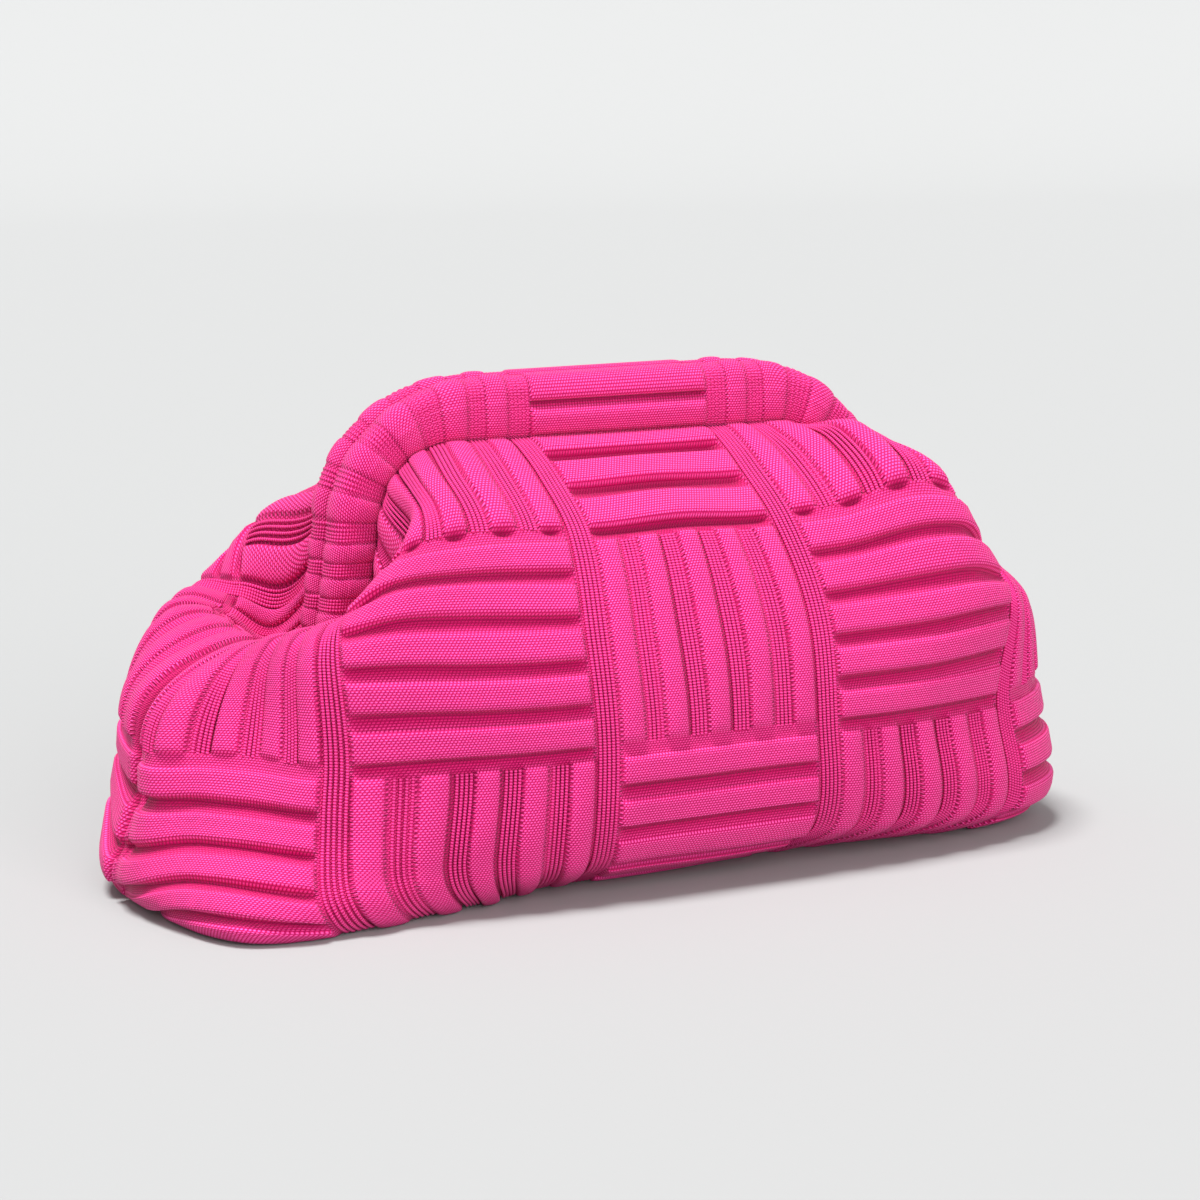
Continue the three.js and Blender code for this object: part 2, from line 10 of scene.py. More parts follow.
import bmesh
import bpy
import numpy as np
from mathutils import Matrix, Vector

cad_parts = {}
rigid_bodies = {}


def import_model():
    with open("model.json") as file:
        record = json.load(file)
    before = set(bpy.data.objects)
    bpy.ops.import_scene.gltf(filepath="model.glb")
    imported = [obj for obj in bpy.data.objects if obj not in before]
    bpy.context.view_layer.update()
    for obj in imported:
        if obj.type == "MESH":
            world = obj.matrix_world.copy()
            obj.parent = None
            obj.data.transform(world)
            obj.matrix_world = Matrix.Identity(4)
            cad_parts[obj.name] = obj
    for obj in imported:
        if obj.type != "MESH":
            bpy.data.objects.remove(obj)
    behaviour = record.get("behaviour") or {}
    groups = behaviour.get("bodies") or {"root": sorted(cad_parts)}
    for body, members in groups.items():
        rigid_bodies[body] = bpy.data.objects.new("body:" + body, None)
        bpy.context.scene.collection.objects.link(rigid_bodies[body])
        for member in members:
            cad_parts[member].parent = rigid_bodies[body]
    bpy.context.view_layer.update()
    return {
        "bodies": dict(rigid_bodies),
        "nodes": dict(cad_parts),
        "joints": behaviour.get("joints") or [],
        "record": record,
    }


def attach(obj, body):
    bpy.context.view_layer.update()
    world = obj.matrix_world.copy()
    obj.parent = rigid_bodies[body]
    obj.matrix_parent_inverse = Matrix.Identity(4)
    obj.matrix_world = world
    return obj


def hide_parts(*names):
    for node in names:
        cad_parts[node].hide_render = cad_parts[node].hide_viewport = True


LOG = logging.getLogger("pouch_bag")
MM = 0.001
BODY = "root"
FACE_COLUMNS = 5
HALF_FACE = FACE_COLUMNS / 2
LOOP_COLUMNS = 2 * FACE_COLUMNS
MM_PER_METRE = 1000.0
TOUCH = 1e-6
TINY = 1e-9
FAR_FROM_EYELETS = 9.0


class Face(Enum):
    """The two faces of the bag, with the sign that turns the front into each."""

    FRONT = 1
    BACK = -1


class RibRun(Enum):
    """Which way the ribs of a tile run."""

    UPRIGHT = "upright"
    LEVEL = "level"


class KnitPattern(Enum):
    """Stitch patterns that a knit finish can show."""

    JERSEY = "jersey"
    STRAND = "strand"


def smooth(edge0: float, edge1: float, value: np.ndarray) -> np.ndarray:
    """Smooth step between two edges.

    Args:
        edge0: value where the step is 0.
        edge1: value where the step is 1.
        value: where to take the step.

    Returns:
        The step, from 0 to 1.
    """
    share = np.clip((np.asarray(value, float) - edge0) / (edge1 - edge0), 0.0, 1.0)
    return share * share * (3.0 - 2.0 * share)


def hermite(four: Sequence[np.ndarray], knots: Sequence[np.ndarray], at: np.ndarray) -> np.ndarray:
    """Smooth curve between the middle two of four points.

    Args:
        four: the points before, at the start, at the end and after.
        knots: where each of them lies along the curve.
        at: where to take the curve.

    Returns:
        The points on the curve, one for each value of at.
    """
    before, start, end, after = four
    k0, k1, k2, k3 = (knot[..., None] for knot in knots)
    gap = k2 - k1
    s = (at[..., None] - k1) / gap
    start_slope = (end - before) / (k2 - k0) * gap
    end_slope = (after - start) / (k3 - k1) * gap
    placed = (2 * s**3 - 3 * s**2 + 1) * start + (3 * s**2 - 2 * s**3) * end
    return placed + (s**3 - 2 * s**2 + s) * start_slope + (s**3 - s**2) * end_slope


@dataclass(frozen=True)
class Span:
    """A range that fades in and out again along a row or a column of cloth."""

    start: float
    full: float
    fade: float
    end: float

    def weight(self, value: np.ndarray) -> np.ndarray:
        """Share of the range at each value, from 0 to 1."""
        return smooth(self.start, self.full, value) * (1.0 - smooth(self.fade, self.end, value))


@dataclass(frozen=True)
class UpperRing:
    """A ring of cloth near the mouth, as sections from the middle of a face to its end.

    Each section gives its column, place along the bag, place forward and height.
    """

    drop: float
    sections: tuple[tuple[float, float, float, float], ...]

    def point(self, column: np.ndarray) -> np.ndarray:
        """Front half of the ring.

        Args:
            column: tile columns out from the middle of the face, 0 to 2.5.

        Returns:
            Points in millimetres.
        """
        rows = np.array(self.sections)
        # The rows next to the middle and the end are mirrored there, so that the curve runs on smoothly
        before = rows[1] * np.array([-1.0, -1.0, 1.0, 1.0])
        after = rows[-2] * np.array([-1.0, 1.0, -1.0, 1.0]) + np.array([FACE_COLUMNS, 0.0, 0.0, 0.0])
        rows = np.vstack([before, rows, after])
        knots = rows[:, 0]
        i = np.clip(np.searchsorted(knots, column, side="left") - 1, 1, len(rows) - 3)
        spots = rows[:, 1:] * np.array([1.0, -1.0, 1.0])
        near = [i - 1, i, i + 1, i + 2]
        return hermite([spots[k] for k in near], [knots[k] for k in near], column)


@dataclass(frozen=True)
class LowerRing:
    """A rounded oblong ring of cloth, walked by its own length."""

    drop: float
    half_length: float
    half_depth: float
    squareness: float
    middle: float
    corner: float
    samples: int = 400
    corner_column: float = 1.5

    def point(self, column: np.ndarray) -> np.ndarray:
        """Front half of the ring.

        Args:
            column: tile columns out from the middle of the face, 0 to 2.5.

        Returns:
            Points in millimetres.
        """
        angle = np.linspace(0.0, math.pi / 2, self.samples + 1)
        power = 2.0 / self.squareness
        x = self.half_length * np.sin(angle) ** power
        y = -self.half_depth * np.clip(np.cos(angle), 0.0, 1.0) ** power
        length = np.concatenate([[0.0], np.cumsum(np.hypot(np.diff(x), np.diff(y)))])
        want = column / HALF_FACE * length[-1]
        towards = np.minimum(column / self.corner_column, 1.0) ** 2
        z = self.middle + (self.corner - self.middle) * towards
        return np.stack([np.interp(want, length, x), np.interp(want, length, y), z], axis=-1)


@dataclass(frozen=True)
class Arch:
    """The arched line that the mouth is sewn along."""

    top: float = 148.0
    half_run: float = 63.0
    radius: float = 28.0
    foot: float = 74.0
    lean: float = 6.0
    seam_depth: float = 11.0
    column_width: float = 78.0
    arm_end: float = 2.25
    mouth_end: tuple[float, float] = (101.0, 65.0)

    @property
    def bend(self) -> float:
        """Length of a round corner."""
        return self.radius * math.pi / 2

    @property
    def arm(self) -> float:
        """Length of an arm below its corner."""
        return self.top - self.radius - self.foot

    def point(self, column: np.ndarray) -> tuple[np.ndarray, np.ndarray, np.ndarray]:
        """Arch line.

        Args:
            column: tile columns out from the middle.

        Returns:
            Place along the bag, height, and the turn of the outward direction from upright.
        """
        length = self.half_run + self.bend + self.arm
        rate = (length - self.column_width) / (self.arm_end - 1.0)
        far = self.column_width + (column - 1.0) * rate
        along = np.where(column < 1.0, column * self.column_width, far)
        turn = np.clip((along - self.half_run) / self.radius, 0.0, math.pi / 2)
        down = np.maximum(along - self.half_run - self.bend, 0.0)
        x = np.minimum(along, self.half_run) + self.radius * np.sin(turn) + self.lean * down / self.arm
        z = self.top - self.radius * (1.0 - np.cos(turn)) - down
        return x, z, turn

    def seam(self, column: np.ndarray) -> np.ndarray:
        """Front half of the sewn seam, closed across the end of the mouth.

        Args:
            column: tile columns out from the middle, 0 to 2.5.

        Returns:
            Points in millimetres.
        """
        x, z, _ = self.point(np.minimum(column, self.arm_end))
        angle = np.clip((column - self.arm_end) / (HALF_FACE - self.arm_end), 0.0, 1.0) * math.pi / 2
        x = x + (self.mouth_end[0] - x) * np.sin(angle)
        z = z + (self.mouth_end[1] - z) * np.sin(angle)
        return np.stack([x, -self.seam_depth * np.cos(angle), z], axis=-1)

    def frame(self, column: np.ndarray, face: Face, out: np.ndarray, depth: np.ndarray) -> np.ndarray:
        """Points set off from the arch.

        Args:
            column: tile columns along the arch, below 0 on the left.
            face: front or back.
            out: distance outwards in the plane of the arch.
            depth: distance forward of the mouth.

        Returns:
            Points in millimetres.
        """
        x, z, turn = self.point(np.abs(column))
        side = np.where(column < 0, -1.0, 1.0)
        along = (x + np.sin(turn) * out) * side
        height = z + np.cos(turn) * out
        return np.stack([along, -depth * face.value, height], axis=-1)


@dataclass(frozen=True)
class ClothSpot:
    """A place on the cloth where something acts, fading over its width and fall."""

    faces: tuple[Face, ...]
    column: float
    drop: float
    width: float
    fall: float

    def share(self, column: np.ndarray, drop: np.ndarray, sign: np.ndarray) -> np.ndarray:
        """How far it acts.

        Args:
            column: columns from the middle of a face.
            drop: drops below the seam.
            sign: 1 on the front and -1 on the back.

        Returns:
            Shares from 0 to 1.
        """
        across = 1.0 - smooth(0.0, self.width, np.abs(column - self.column))
        down = 1.0 - smooth(0.0, self.fall, np.abs(drop - self.drop))
        return across * down * np.isin(sign, [face.value for face in self.faces])


@dataclass(frozen=True)
class Fold(ClothSpot):
    """A place where the soft cloth is pushed out or in, by a push along X, Y and Z."""

    push: tuple[float, float, float]


@dataclass(frozen=True)
class Slide(ClothSpot):
    """A place where the cloth has slid over the form without changing it, by a distance down the cloth."""

    distance: float


@dataclass(frozen=True)
class Waviness:
    """Gentle waves that run round the cloth and meet at the loop's end."""

    seed: int
    waves: int = 7
    round_trip: float = LOOP_COLUMNS
    highest_turn: int = 14
    shortest: float = 70.0

    def at(self, loop: np.ndarray, drop: np.ndarray) -> np.ndarray:
        """Height of the waves.

        Args:
            loop: tile columns round the bag.
            drop: cloth distance below the seam.

        Returns:
            Values of about -1 to 1.
        """
        draw = np.random.default_rng(self.seed)
        total = np.zeros(np.broadcast(loop, drop).shape)
        for _ in range(self.waves):
            turns = draw.integers(2, self.highest_turn)
            fall = draw.uniform(-1.0, 1.0) * 2 * math.pi / self.shortest
            start = draw.uniform(0.0, 2 * math.pi)
            total = total + np.sin(2 * math.pi * turns * loop / self.round_trip + fall * drop + start)
        return total / math.sqrt(self.waves)


# Drop, then sections of column, along, forward and height
UPPER_RINGS: tuple[UpperRing, ...] = (
    UpperRing(22.0, (
        (0.0, 0.0, 33.0, 137.0),
        (0.5, 39.0, 33.0, 137.0),
        (1.0, 84.0, 35.0, 139.0),
        (1.25, 98.0, 36.0, 127.0),
        (1.5, 105.0, 36.0, 98.0),
        (2.0, 116.0, 31.0, 73.0),
        (2.5, 119.0, 0.0, 64.0),
    )),
    UpperRing(46.0, (
        (0.0, 0.0, 57.0, 120.0),
        (0.5, 39.5, 57.0, 120.0),
        (1.0, 86.0, 57.0, 126.0),
        (1.25, 107.0, 57.0, 121.0),
        (1.5, 119.0, 48.0, 99.0),
        (2.0, 134.0, 33.0, 88.0),
        (2.5, 130.0, 0.0, 81.0),
    )),
    UpperRing(84.0, (
        (0.0, 0.0, 76.0, 87.0),
        (0.5, 43.0, 76.0, 87.0),
        (1.0, 89.0, 74.0, 89.0),
        (1.25, 112.0, 71.0, 90.0),
        (1.5, 132.0, 63.0, 88.0),
        (2.0, 151.0, 38.0, 82.0),
        (2.5, 152.0, 0.0, 76.0),
    )),
)
# Drop, half length, half depth, squareness, height in the middle and at the corner
LOWER_RINGS: tuple[LowerRing, ...] = (
    LowerRing(122.0, 165.0, 83.0, 2.9, 53.0, 52.0),
    LowerRing(160.0, 168.0, 80.0, 3.5, 18.0, 14.0),
    LowerRing(184.0, 155.0, 57.0, 4.0, 4.0, 1.0),
    LowerRing(200.0, 148.0, 45.0, 4.0, 0.0, 0.0),
    LowerRing(244.0, 130.0, 0.0, 4.0, 0.0, 0.0),
)
# Faces, column, drop, width, fall and push
FOLDS: tuple[Fold, ...] = (
    Fold((Face.FRONT,), -1.8, 184.0, 0.7, 45.0, (-20.0, -26.0, 0.0)),
    Fold((Face.FRONT,), -1.2, 184.0, 0.6, 30.0, (0.0, -10.0, 0.0)),
    Fold((Face.FRONT,), -1.9, 100.0, 0.42, 56.0, (7.0, 6.0, 0.0)),
    Fold((Face.FRONT, Face.BACK), -2.5, 178.0, 0.6, 42.0, (-14.0, 0.0, 0.0)),
    Fold((Face.FRONT,), -2.27, 120.0, 0.2, 70.0, (-5.0, -1.0, 0.0)),
    Fold((Face.FRONT,), -2.42, 120.0, 0.08, 70.0, (4.0, 2.0, 0.0)),
    Fold((Face.FRONT,), -1.66, 30.0, 0.74, 32.0, (21.0, 0.0, 0.0)),
    Fold((Face.FRONT, Face.BACK), -2.5, 105.0, 0.7, 34.0, (-5.0, 0.0, 0.0)),
    Fold((Face.FRONT,), -1.5, 128.0, 0.4, 46.0, (-6.0, 0.0, 0.0)),
    Fold((Face.FRONT,), 1.0, 188.0, 1.6, 30.0, (0.0, 8.0, 0.0)),
    Fold((Face.FRONT, Face.BACK), 2.4, 104.0, 0.6, 44.0, (4.0, 0.0, 0.0)),
)
# Faces, column, drop, width, fall and distance
SLIDES: tuple[Slide, ...] = (
    Slide((Face.FRONT,), -1.9, 192.0, 0.75, 66.0, -14.0),
    Slide((Face.FRONT, Face.BACK), -2.5, 176.0, 0.5, 60.0, 8.0),
    Slide((Face.BACK,), -2.08, 160.0, 0.42, 80.0, -6.5),
    Slide((Face.FRONT, Face.BACK), -1.1, 45.0, 0.7, 27.0, 6.0),
    Slide((Face.FRONT, Face.BACK), 1.1, 45.0, 0.7, 27.0, 5.5),
)
# How far the lobe on each side of a face stands higher than the rings give
LOBES: dict[tuple[Face, int], float] = {
    (Face.FRONT, 1): 8.0,
    (Face.BACK, -1): -7.0,
    (Face.BACK, 1): -13.0,
}


@dataclass(frozen=True)
class ClothForm:
    """The bag's soft form: a smooth surface over tile columns round the bag and drops below the seam."""

    arch: Arch = Arch()
    upper: tuple[UpperRing, ...] = UPPER_RINGS
    lower: tuple[LowerRing, ...] = LOWER_RINGS
    folds: tuple[Fold, ...] = FOLDS
    slides: tuple[Slide, ...] = SLIDES
    lobe_columns: Span = Span(0.7, 1.1, 1.6, 2.2)
    lobe_drops: Span = Span(0.0, 20.0, 40.0, 80.0)
    left_fuller: float = 6.5
    fuller_columns: tuple[float, float] = (1.0, HALF_FACE)
    fuller_drops: tuple[float, float] = (60.0, 120.0)
    slide_fade: float = 194.0
    probe_column: float = 0.01
    probe_drop: float = 0.5
    centring: tuple[float, float, float] = (7.25, 0.0, 0.0)

    @property
    def drops(self) -> np.ndarray:
        """Drop of every ring, the seam first."""
        return np.array([0.0] + [ring.drop for ring in self.upper + self.lower])

    @property
    def last_drop(self) -> float:
        """Drop of the fold under the base."""
        return self.lower[-1].drop

    def column_at(self, loop: np.ndarray) -> np.ndarray:
        """Column from -2.5 at the left end to 2.5 at the right, for a place round the loop."""
        return np.where(loop <= FACE_COLUMNS, loop - HALF_FACE, LOOP_COLUMNS - HALF_FACE - loop)

    def _settle(self, column: np.ndarray, drop: np.ndarray, sign: np.ndarray) -> np.ndarray:
        """Shift of the cloth by its fullness, lobes and folds.

        Args:
            column: columns from the middle of a face.
            drop: drops below the seam.
            sign: 1 on the front and -1 on the back.

        Returns:
            Shifts in millimetres.
        """
        shift = np.zeros(column.shape + (3,))
        fuller = self.left_fuller * smooth(*self.fuller_columns, -column)
        shift[..., 0] -= fuller * smooth(*self.fuller_drops, drop)
        lift = self.lobe_columns.weight(np.abs(column)) * self.lobe_drops.weight(drop)
        for (face, side), height in LOBES.items():
            shift[..., 2] += np.where((sign == face.value) & (column * side > 0), height * lift, 0.0)
        for fold in self.folds:
            shift += fold.share(column, drop, sign)[..., None] * np.array(fold.push)
        return shift

    def point(self, loop: np.ndarray, drop: np.ndarray) -> np.ndarray:
        """Smooth cloth surface.

        Args:
            loop: tile columns round the bag, 0 to 10 from the left end over the front.
            drop: cloth distance below the seam in millimetres.

        Returns:
            Points in millimetres, before centring.
        """
        loop, drop = np.broadcast_arrays(np.mod(loop, LOOP_COLUMNS), np.asarray(drop, float))
        column = self.column_at(loop)
        sign = np.where(loop <= FACE_COLUMNS, 1.0, -1.0)
        reach = np.abs(column)
        moved = sum(slide.distance * slide.share(column, drop, sign) for slide in self.slides)
        drop = drop + moved * (1.0 - smooth(self.slide_fade, self.last_drop, drop))
        rings = np.stack([self.arch.seam(reach)] + [ring.point(reach) for ring in self.upper + self.lower])
        drops = self.drops
        last = len(drops) - 1
        i = np.minimum(np.searchsorted(drops[1:], drop, side="left"), last - 1)
        near = [np.maximum(i - 1, 0), i, i + 1, np.minimum(i + 2, last)]
        four = [np.take_along_axis(rings, k[None, ..., None], axis=0)[0] for k in near]
        spots = hermite(four, [drops[k] for k in near], drop)
        spots = spots * np.stack([np.where(column < 0, -1.0, 1.0), sign, np.ones_like(sign)], axis=-1)
        spots = spots + self._settle(column, drop, sign)
        spots[..., 2] = np.maximum(spots[..., 2], 0.0)
        return spots

    def normal(self, loop: np.ndarray, drop: np.ndarray) -> np.ndarray:
        """Outward direction of the smooth cloth.

        Args:
            loop: tile columns round the bag.
            drop: cloth distance below the seam.

        Returns:
            Unit vectors.
        """
        low = np.maximum(drop - self.probe_drop, 0.0)
        high = np.minimum(drop + self.probe_drop, self.last_drop)
        across = self.point(loop + self.probe_column, drop) - self.point(loop - self.probe_column, drop)
        down = self.point(loop, high) - self.point(loop, low)
        normal = np.cross(down, across)
        return normal / np.maximum(np.linalg.norm(normal, axis=-1, keepdims=True), TINY)

    def to_metres(self, spots: np.ndarray) -> np.ndarray:
        """Centred places in metres, pressed flat where they would sink below the base."""
        placed = spots + np.array(self.centring)
        placed[..., 2] = np.maximum(placed[..., 2], 0.0)
        return placed * MM


@dataclass(frozen=True)
class TileRow:
    """A row of tiles: its drops below the seam, its level ribs, and the share and depth of their grooves."""

    start: float
    end: float
    ribs: int
    groove: float
    depth: float = 2.0


@dataclass(frozen=True)
class BasketRibs:
    """Blocks of padded ribs that run upright and level by turns, with flat grooves between the ribs."""

    rows: tuple[TileRow, ...] = (
        TileRow(0.0, 43.0, 3, 0.38, 3.4),
        TileRow(48.0, 120.0, 5, 0.36),
        TileRow(125.0, 194.0, 5, 0.36),
    )
    ribs_across: int = 5
    divider: float = 0.11
    tile_width: float = 88.0
    plain: float = 1.5
    upright_rise: float = 1.6
    level_rise: float = 1.7
    upright_groove: float = 0.46
    crown_power: float = 3.0
    crown_round: float = 0.62
    round_end: float = 2.2
    groove_end: float = 5.0
    pit_depth: float = 2.4
    pit_drop: float = 0.9
    pit_reach: tuple[float, float] = (3.8, 1.3)
    upper_round: float = 0.16
    lower_round: float = 0.14
    groove_low: float = 0.2
    wale_bed: float = 0.9
    rib_lines: tuple[float, ...] = (0.0, 0.06, 0.15, 0.31, 0.5, 0.69, 0.85, 0.94, 1.0)
    groove_lines: tuple[float, ...] = (0.1, 0.2, 0.5, 0.8)
    gap_lines: tuple[float, ...] = (0.5, 1.0, 3.0)
    row_gap: float = 5.0
    divider_lines: tuple[float, ...] = (0.0, 0.28, 0.62)
    side_seam_depth: float = 2.4
    side_seam_width: float = 1.3
    side_seam_margin: float = 0.008
    seam_flat: float = 0.6
    seam_reach: float = 6.0
    mouth_end_flat: float = 0.5
    mouth_end_columns: tuple[float, float] = (1.9, 2.3)
    mouth_end_drops: tuple[float, float] = (20.0, 60.0)
    base_flat: float = 0.25
    base_drops: tuple[float, float] = (175.0, 194.0)

    @property
    def full(self) -> float:
        """Height of a level rib over the floor of its grooves."""
        return self.plain + self.level_rise

    def run(self, column: int, row: int) -> RibRun:
        """Which way the ribs of a tile run.

        Args:
            column: tile column, 0 to 9 from the left end over the front.
            row: tile row, 0 at the mouth.

        Returns:
            The run of its ribs.
        """
        place = column % FACE_COLUMNS
        if row == 0:
            return RibRun.LEVEL if place == FACE_COLUMNS // 2 else RibRun.UPRIGHT
        return RibRun.UPRIGHT if (place + row) % 2 == 1 else RibRun.LEVEL

    @staticmethod
    def pitch(ribs: int, groove: float) -> float:
        """Share of a tile from one rib to the next, where ribs lie at both edges of the tile."""
        return 1.0 / (ribs - groove)

    def tile_lines(self, ribs: int, groove: float, between: Sequence[float]) -> list[float]:
        """Mesh lines over a tile, close together at the edges of its ribs.

        Args:
            ribs: ribs in the tile.
            groove: share of the pitch that is groove.
            between: lines in each groove, as shares of its width.

        Returns:
            Shares of the tile from 0 to 1.
        """
        pitch = self.pitch(ribs, groove)
        lines: list[float] = []
        for rib in range(ribs):
            lines += [(rib + t * (1.0 - groove)) * pitch for t in self.rib_lines]
            if rib < ribs - 1:
                lines += [(rib + 1.0 - groove + t * groove) * pitch for t in between]
        return lines

    def across_lines(self) -> np.ndarray:
        """Mesh lines round the loop."""
        half = self.divider / 2
        tile = self.tile_lines(self.ribs_across, self.upright_groove, (0.5,))
        inside = [half + t * (1.0 - self.divider) for t in tile]
        first = [half * t for t in self.divider_lines]
        last = [1.0 - half * t for t in reversed(self.divider_lines[1:])]
        return np.concatenate([np.array(first + inside + last) + k for k in range(LOOP_COLUMNS)])

    def down_lines(self, base: Sequence[float]) -> np.ndarray:
        """Mesh lines down the cloth.

        Args:
            base: drops of the lines below the last row.

        Returns:
            Drops of all lines.
        """
        drops: list[float] = []
        for row in self.rows:
            tile = self.tile_lines(row.ribs, row.groove, self.groove_lines)
            drops += [row.start + t * (row.end - row.start) for t in tile]
            drops += [row.end + gap for gap in self.gap_lines]
        return np.array(drops + list(base))

    def standing(self, across: np.ndarray) -> tuple[np.ndarray, np.ndarray, np.ndarray]:
        """Upright ribs over a tile.

        Args:
            across: place across the tile, 0 to 1.

        Returns:
            Heights from 0 to 1, and the distances to the nearest rib edge and rib middle in millimetres.
        """
        width = (1.0 - self.divider) * self.tile_width
        pitch = self.pitch(self.ribs_across, self.upright_groove)
        half = pitch * (1.0 - self.upright_groove) / 2
        off = np.abs(np.mod(across - half + pitch / 2, pitch) - pitch / 2)
        height = np.clip(1.0 - (off / half) ** self.crown_power, 0.0, 1.0) ** self.crown_round
        return height, np.abs(off - half) * width, off * width

    def lying(self, down: np.ndarray, row: TileRow) -> np.ndarray:
        """Level ribs down a tile. Each turns in sharply below, and the groove rises from there to the next.

        Args:
            down: place down the tile, 0 to 1.
            row: the tile's row.

        Returns:
            Heights from -1 on the floor of a groove to 1 on the top of a rib.
        """
        part = np.mod(down / self.pitch(row.ribs, row.groove), 1.0)
        rib = part / (1.0 - row.groove)
        upper = 1.0 - np.clip(rib / self.upper_round, 0.0, 1.0)
        lower = 1.0 - np.clip((1.0 - rib) / self.lower_round, 0.0, 1.0)
        top = np.sqrt((1.0 - upper**2) * (1.0 - lower**2))
        return np.where(rib <= 1.0, top, -self.trough((part - 1.0 + row.groove) / row.groove))

    def trough(self, across: np.ndarray) -> np.ndarray:
        """Depth of a level groove, 0 to 1, at shares of its width from the rib above to the one below."""
        share = np.clip(across, 0.0, 1.0)
        fall = np.clip(share / self.groove_low, 0.0, 1.0)
        return fall * (1.0 - np.clip((share - self.groove_low) / (1.0 - self.groove_low), 0.0, 1.0))

    def ends(self, near: np.ndarray, reach: float) -> np.ndarray:
        """Round end of a rib or groove over a reach, for distances from the end in millimetres."""
        share = np.clip(near / reach, 0.0, 1.0)
        return np.sqrt(1.0 - (1.0 - share) ** 2)

    def strength(self, column: np.ndarray, drop: np.ndarray) -> np.ndarray:
        """How far the ribs stand up: less at the seam, at the mouth's ends and where the bag stands.

        Args:
            column: columns from the middle of a face.
            drop: drops below the seam.

        Returns:
            Share of the full height.
        """
        reach = np.abs(column)
        seam = self.seam_flat * (1.0 - smooth(0.0, self.seam_reach, drop))
        mouth_end = self.mouth_end_flat * smooth(*self.mouth_end_columns, reach)
        mouth_end = mouth_end * (1.0 - smooth(*self.mouth_end_drops, drop))
        return (1.0 - seam) * (1.0 - mouth_end) - self.base_flat * smooth(*self.base_drops, drop)

    def relief(self, loop: np.ndarray, drop: np.ndarray) -> tuple[np.ndarray, np.ndarray, np.ndarray]:
        """Relief of the ribs, the distance to the nearest line of eyelets, and the pits under rib ends.

        Args:
            loop: tile columns round the bag.
            drop: drops below the seam.

        Returns:
            Height over the groove floors and eyelet distances in millimetres, and pits from 0 to 1.
        """
        loop, drop = np.broadcast_arrays(loop, drop)
        pit = np.zeros(loop.shape)
        half = self.divider / 2
        part = np.mod(loop, 1.0)
        height = self.plain - self.wale_bed * (np.minimum(part, 1.0 - part) < half - TOUCH)
        eyelet = np.abs(np.minimum(part, 1.0 - part) - half) * self.tile_width
        across = (part - half) / (1.0 - self.divider)
        index = np.floor(np.mod(loop, LOOP_COLUMNS)).astype(int)
        place = index % FACE_COLUMNS
        low = np.where(place == 0, self.side_seam_margin, half)
        high = 1.0 - np.where(place == FACE_COLUMNS - 1, self.side_seam_margin, half)
        side = np.minimum(part - low, high - part) * self.tile_width
        from_seam = np.abs(np.mod(loop + HALF_FACE, FACE_COLUMNS) - HALF_FACE) * self.tile_width
        side_seam = self.side_seam_depth * np.exp(-((from_seam / self.side_seam_width) ** 2))
        upright_rib, edge, middle = self.standing(across)
        for number, row in enumerate(self.rows):
            down = (drop - row.start) / (row.end - row.start)
            end = row.end - drop if number == 0 else np.minimum(drop - row.start, row.end - drop)
            upright = np.array([self.run(k, number) is RibRun.UPRIGHT for k in range(LOOP_COLUMNS)])[index]
            beside = np.where(upright, (across >= -TOUCH) & (across <= 1.0 + TOUCH), side >= 0.0)
            inside = beside & (down >= -TOUCH) & (down <= 1.0 + TOUCH)
            level_rib = self.lying(np.clip(down, 0.0, 1.0), row)
            raised = self.level_rise * np.maximum(level_rib, 0.0) * self.ends(side, self.round_end)
            sunk = row.depth * np.minimum(level_rib, 0.0) * self.ends(side, self.groove_end)
            bed = -self.wale_bed * (upright_rib <= 0.0)
            standing = self.upright_rise * upright_rib * self.ends(end, self.round_end) + bed
            rise = np.where(upright, standing, raised + sunk)
            height = np.where(inside, self.plain + rise, height)
            below = self.trough((drop - row.end) / self.row_gap) * self.ends(side, self.groove_end)
            open_below = ~upright & (side >= 0.0) & (number < len(self.rows) - 1)
            height = height - np.where(open_below, row.depth * below, 0.0)
            eyelet = np.where(inside & upright, np.minimum(eyelet, edge), eyelet)
            if number == 0:
                aside = middle / self.pit_reach[0]
                past = (drop - row.end - self.pit_drop) / self.pit_reach[1]
                pit = np.where(beside & upright, np.exp(-(aside**2) - past**2), 0.0)
        return height - self.pit_depth * pit - side_seam, eyelet, pit


def add_node(
    tree: bpy.types.NodeTree, kind: str, settings: dict[str, Any], inputs: dict[Any, Any]
) -> bpy.types.Node:
    """Adds a node to a tree.

    Args:
        tree: the tree.
        kind: type of the node.
        settings: its properties, set first.
        inputs: values or source sockets of its inputs, by name or number.

    Returns:
        The node.
    """
    node = tree.nodes.new(kind)
    for key, value in settings.items():
        setattr(node, key, value)
    for key, value in inputs.items():
        if isinstance(value, bpy.types.NodeSocket):
            tree.links.new(value, node.inputs[key])
        else:
            node.inputs[key].default_value = value
    return node


